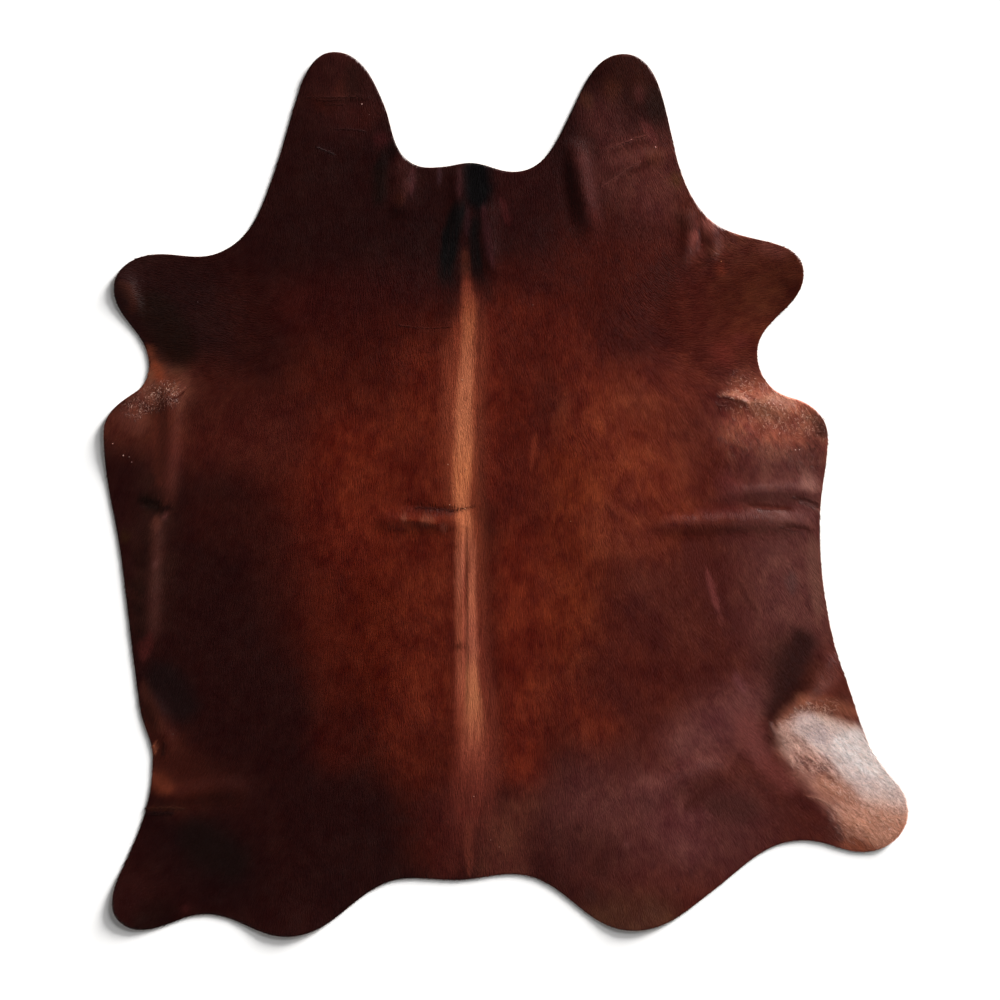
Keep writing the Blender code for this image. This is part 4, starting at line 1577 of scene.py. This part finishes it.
def specks():
    """Locks across each other for each speck, in its own colour."""
    roots, ways, reach, colours = [], [], [], []
    for speck in rows(SPECK_COLUMNS, SPECKS):
        first = chance.uniform(0.0, math.pi)
        half = speck["radius"] * SPECK_SIZE
        for turn in range(SPECK_LOCKS):
            angle = first + turn / SPECK_LOCKS * math.pi
            way = np.array([math.cos(angle), math.sin(angle)])
            roots.append(np.array([speck["x"], speck["y"]]) - way * half)
            ways.append(way)
            reach.append(half)
            colours.append((speck["red"], speck["green"], speck["blue"]))
    reach = np.array(reach)
    own = display(colours)[:, None, :] * SPECK_SHADE
    lift = np.full(len(reach), 2.0 * FINE_LIFT)
    return make_locks("coat_specks", np.array(roots), np.array(ways), 2.0 * reach, reach,
                      (lift, lift), lambda shade: np.tile(own, (1, CORNERS, 1)))


print("coat_specks", len(specks().data.polygons), "triangles")

# %% [markdown]
# Where the belly and hock are ruffled, stray locks lie every way, some of them glinting and some
# dark. The glints are painted highlights in the strays' colour. Each place has its own share of
# strays, their length, how far they turn, how many are dark and how bright the others are.

# %% Ruffled places
STRAY_COLUMNS = ("share", "long", "spread", "dark", "bright")
ROUGH_COLUMNS = ("place", "x0", "y0", "x1", "y1", "core", "fade") + STRAY_COLUMNS
ROUGH = (
    ("belly left", -930, 222, -845, 252, 14, 46, 1.0, 7, 0.9, 0.30, 1.00),
    ("belly right", 560, 240, 700, 226, 8, 44, 0.7, 8, 0.8, 0.20, 1.00),
    ("belly right outer", 640, 200, 780, 168, 12, 60, 0.6, 8, 0.8, 0.20, 0.90),
    ("belly right below", 580, 150, 730, 110, 10, 80, 0.3, 12, 0.5, 0.40, 0.30),
    ("belly right top", 575, 290, 635, 262, 6, 36, 0.5, 7, 0.9, 0.10, 0.90),
    ("hock", 760, -600, 950, -760, 50, 90, 0.9, 16, 0.35, 0.32, 0.90),
    ("clump", 736, -655, 806, -690, 14, 44, 0.9, 12, 0.6, 0.45, 0.60),
    ("hock fringe", 704, -580, 800, -532, 10, 36, 1.0, 16, 0.8, 0.25, 0.75),
    ("heel", 870, -800, 970, -820, 40, 80, 0.8, 20, 0.30, 0.25, 0.50),
)
ROUGH_STEP = 0.0030
ROUGH_CLEAR = 0.002
ROUGH_STRAY = 0.5        # of a step
ROUGH_PATCH = 0.012      # size of the tufts that strays come in
ROUGH_LEAST = 0.25       # of the strays are there between the tufts too
ROUGH_LONG = (0.6, 1.3)  # of the length in the table
# painted highlight colour that glinting strays are tinted towards
GLINT = display((240, 200, 182))
GLINT_RANGE = (0.1, 1.0)
GLINT_LEAST = 0.4        # of its brightness at the rim of a place
GLINT_PALE = (3.0, 0.3, 1.0)     # a glint is as strong as the coat is pale: slope, least and most
DARK = 0.78


def ruffle_at(x, y):
    """The row of the table that is strongest at each place, and how strong it is there."""
    best = {name: np.zeros(len(x)) for name in STRAY_COLUMNS}
    for spot in rows(ROUGH_COLUMNS, ROUGH):
        share = spot["share"] * faded(from_line(x, y, spot)[1], spot["core"], spot["fade"])
        more = share > best["share"]
        for name in best:
            best[name][more] = share[more] if name == "share" else spot[name]
    return best


def ruffled_locks():
    """Stray locks over the ruffled places, some painted with glints of light and some dark."""
    places = inside_points(ROUGH_STEP, ROUGH_CLEAR)
    places = places + chance.uniform(-ROUGH_STRAY, ROUGH_STRAY, places.shape) * ROUGH_STEP
    x, y = places[:, 0], places[:, 1]
    best = ruffle_at(x, y)
    best["share"] *= ROUGH_LEAST + (1.0 - ROUGH_LEAST) * lumps(x, y, ROUGH_PATCH, 31)
    kept = chance.random(len(places)) < best["share"]
    places = places[kept]
    share, long, spread, dark, bright = (best[name][kept] for name in STRAY_COLUMNS)
    count = len(places)
    way = turned(lay(places[:, 0], places[:, 1]), chance.normal(0.0, 1.0, count) * spread)
    shine = GLINT_LEAST + (1.0 - GLINT_LEAST) * share
    amount = between(GLINT_RANGE, count) ** 2 * bright * shine
    is_dark = chance.random(count) < dark
    length = long * between(ROUGH_LONG, count)

    def tint(shade):
        slope, least, most = GLINT_PALE
        pale = np.clip(slope * shade.mean(axis=2, keepdims=True), least, most)
        glinting = shade + pale * amount[:, None, None] * (GLINT - shade)
        return np.where(is_dark[:, None, None], shade * DARK, glinting)

    return make_locks("coat_ruffles", places, way, length, between(FINE_WIDTH, count),
                      over_coat(count), tint)


print("coat_ruffles", len(ruffled_locks().data.polygons), "triangles")
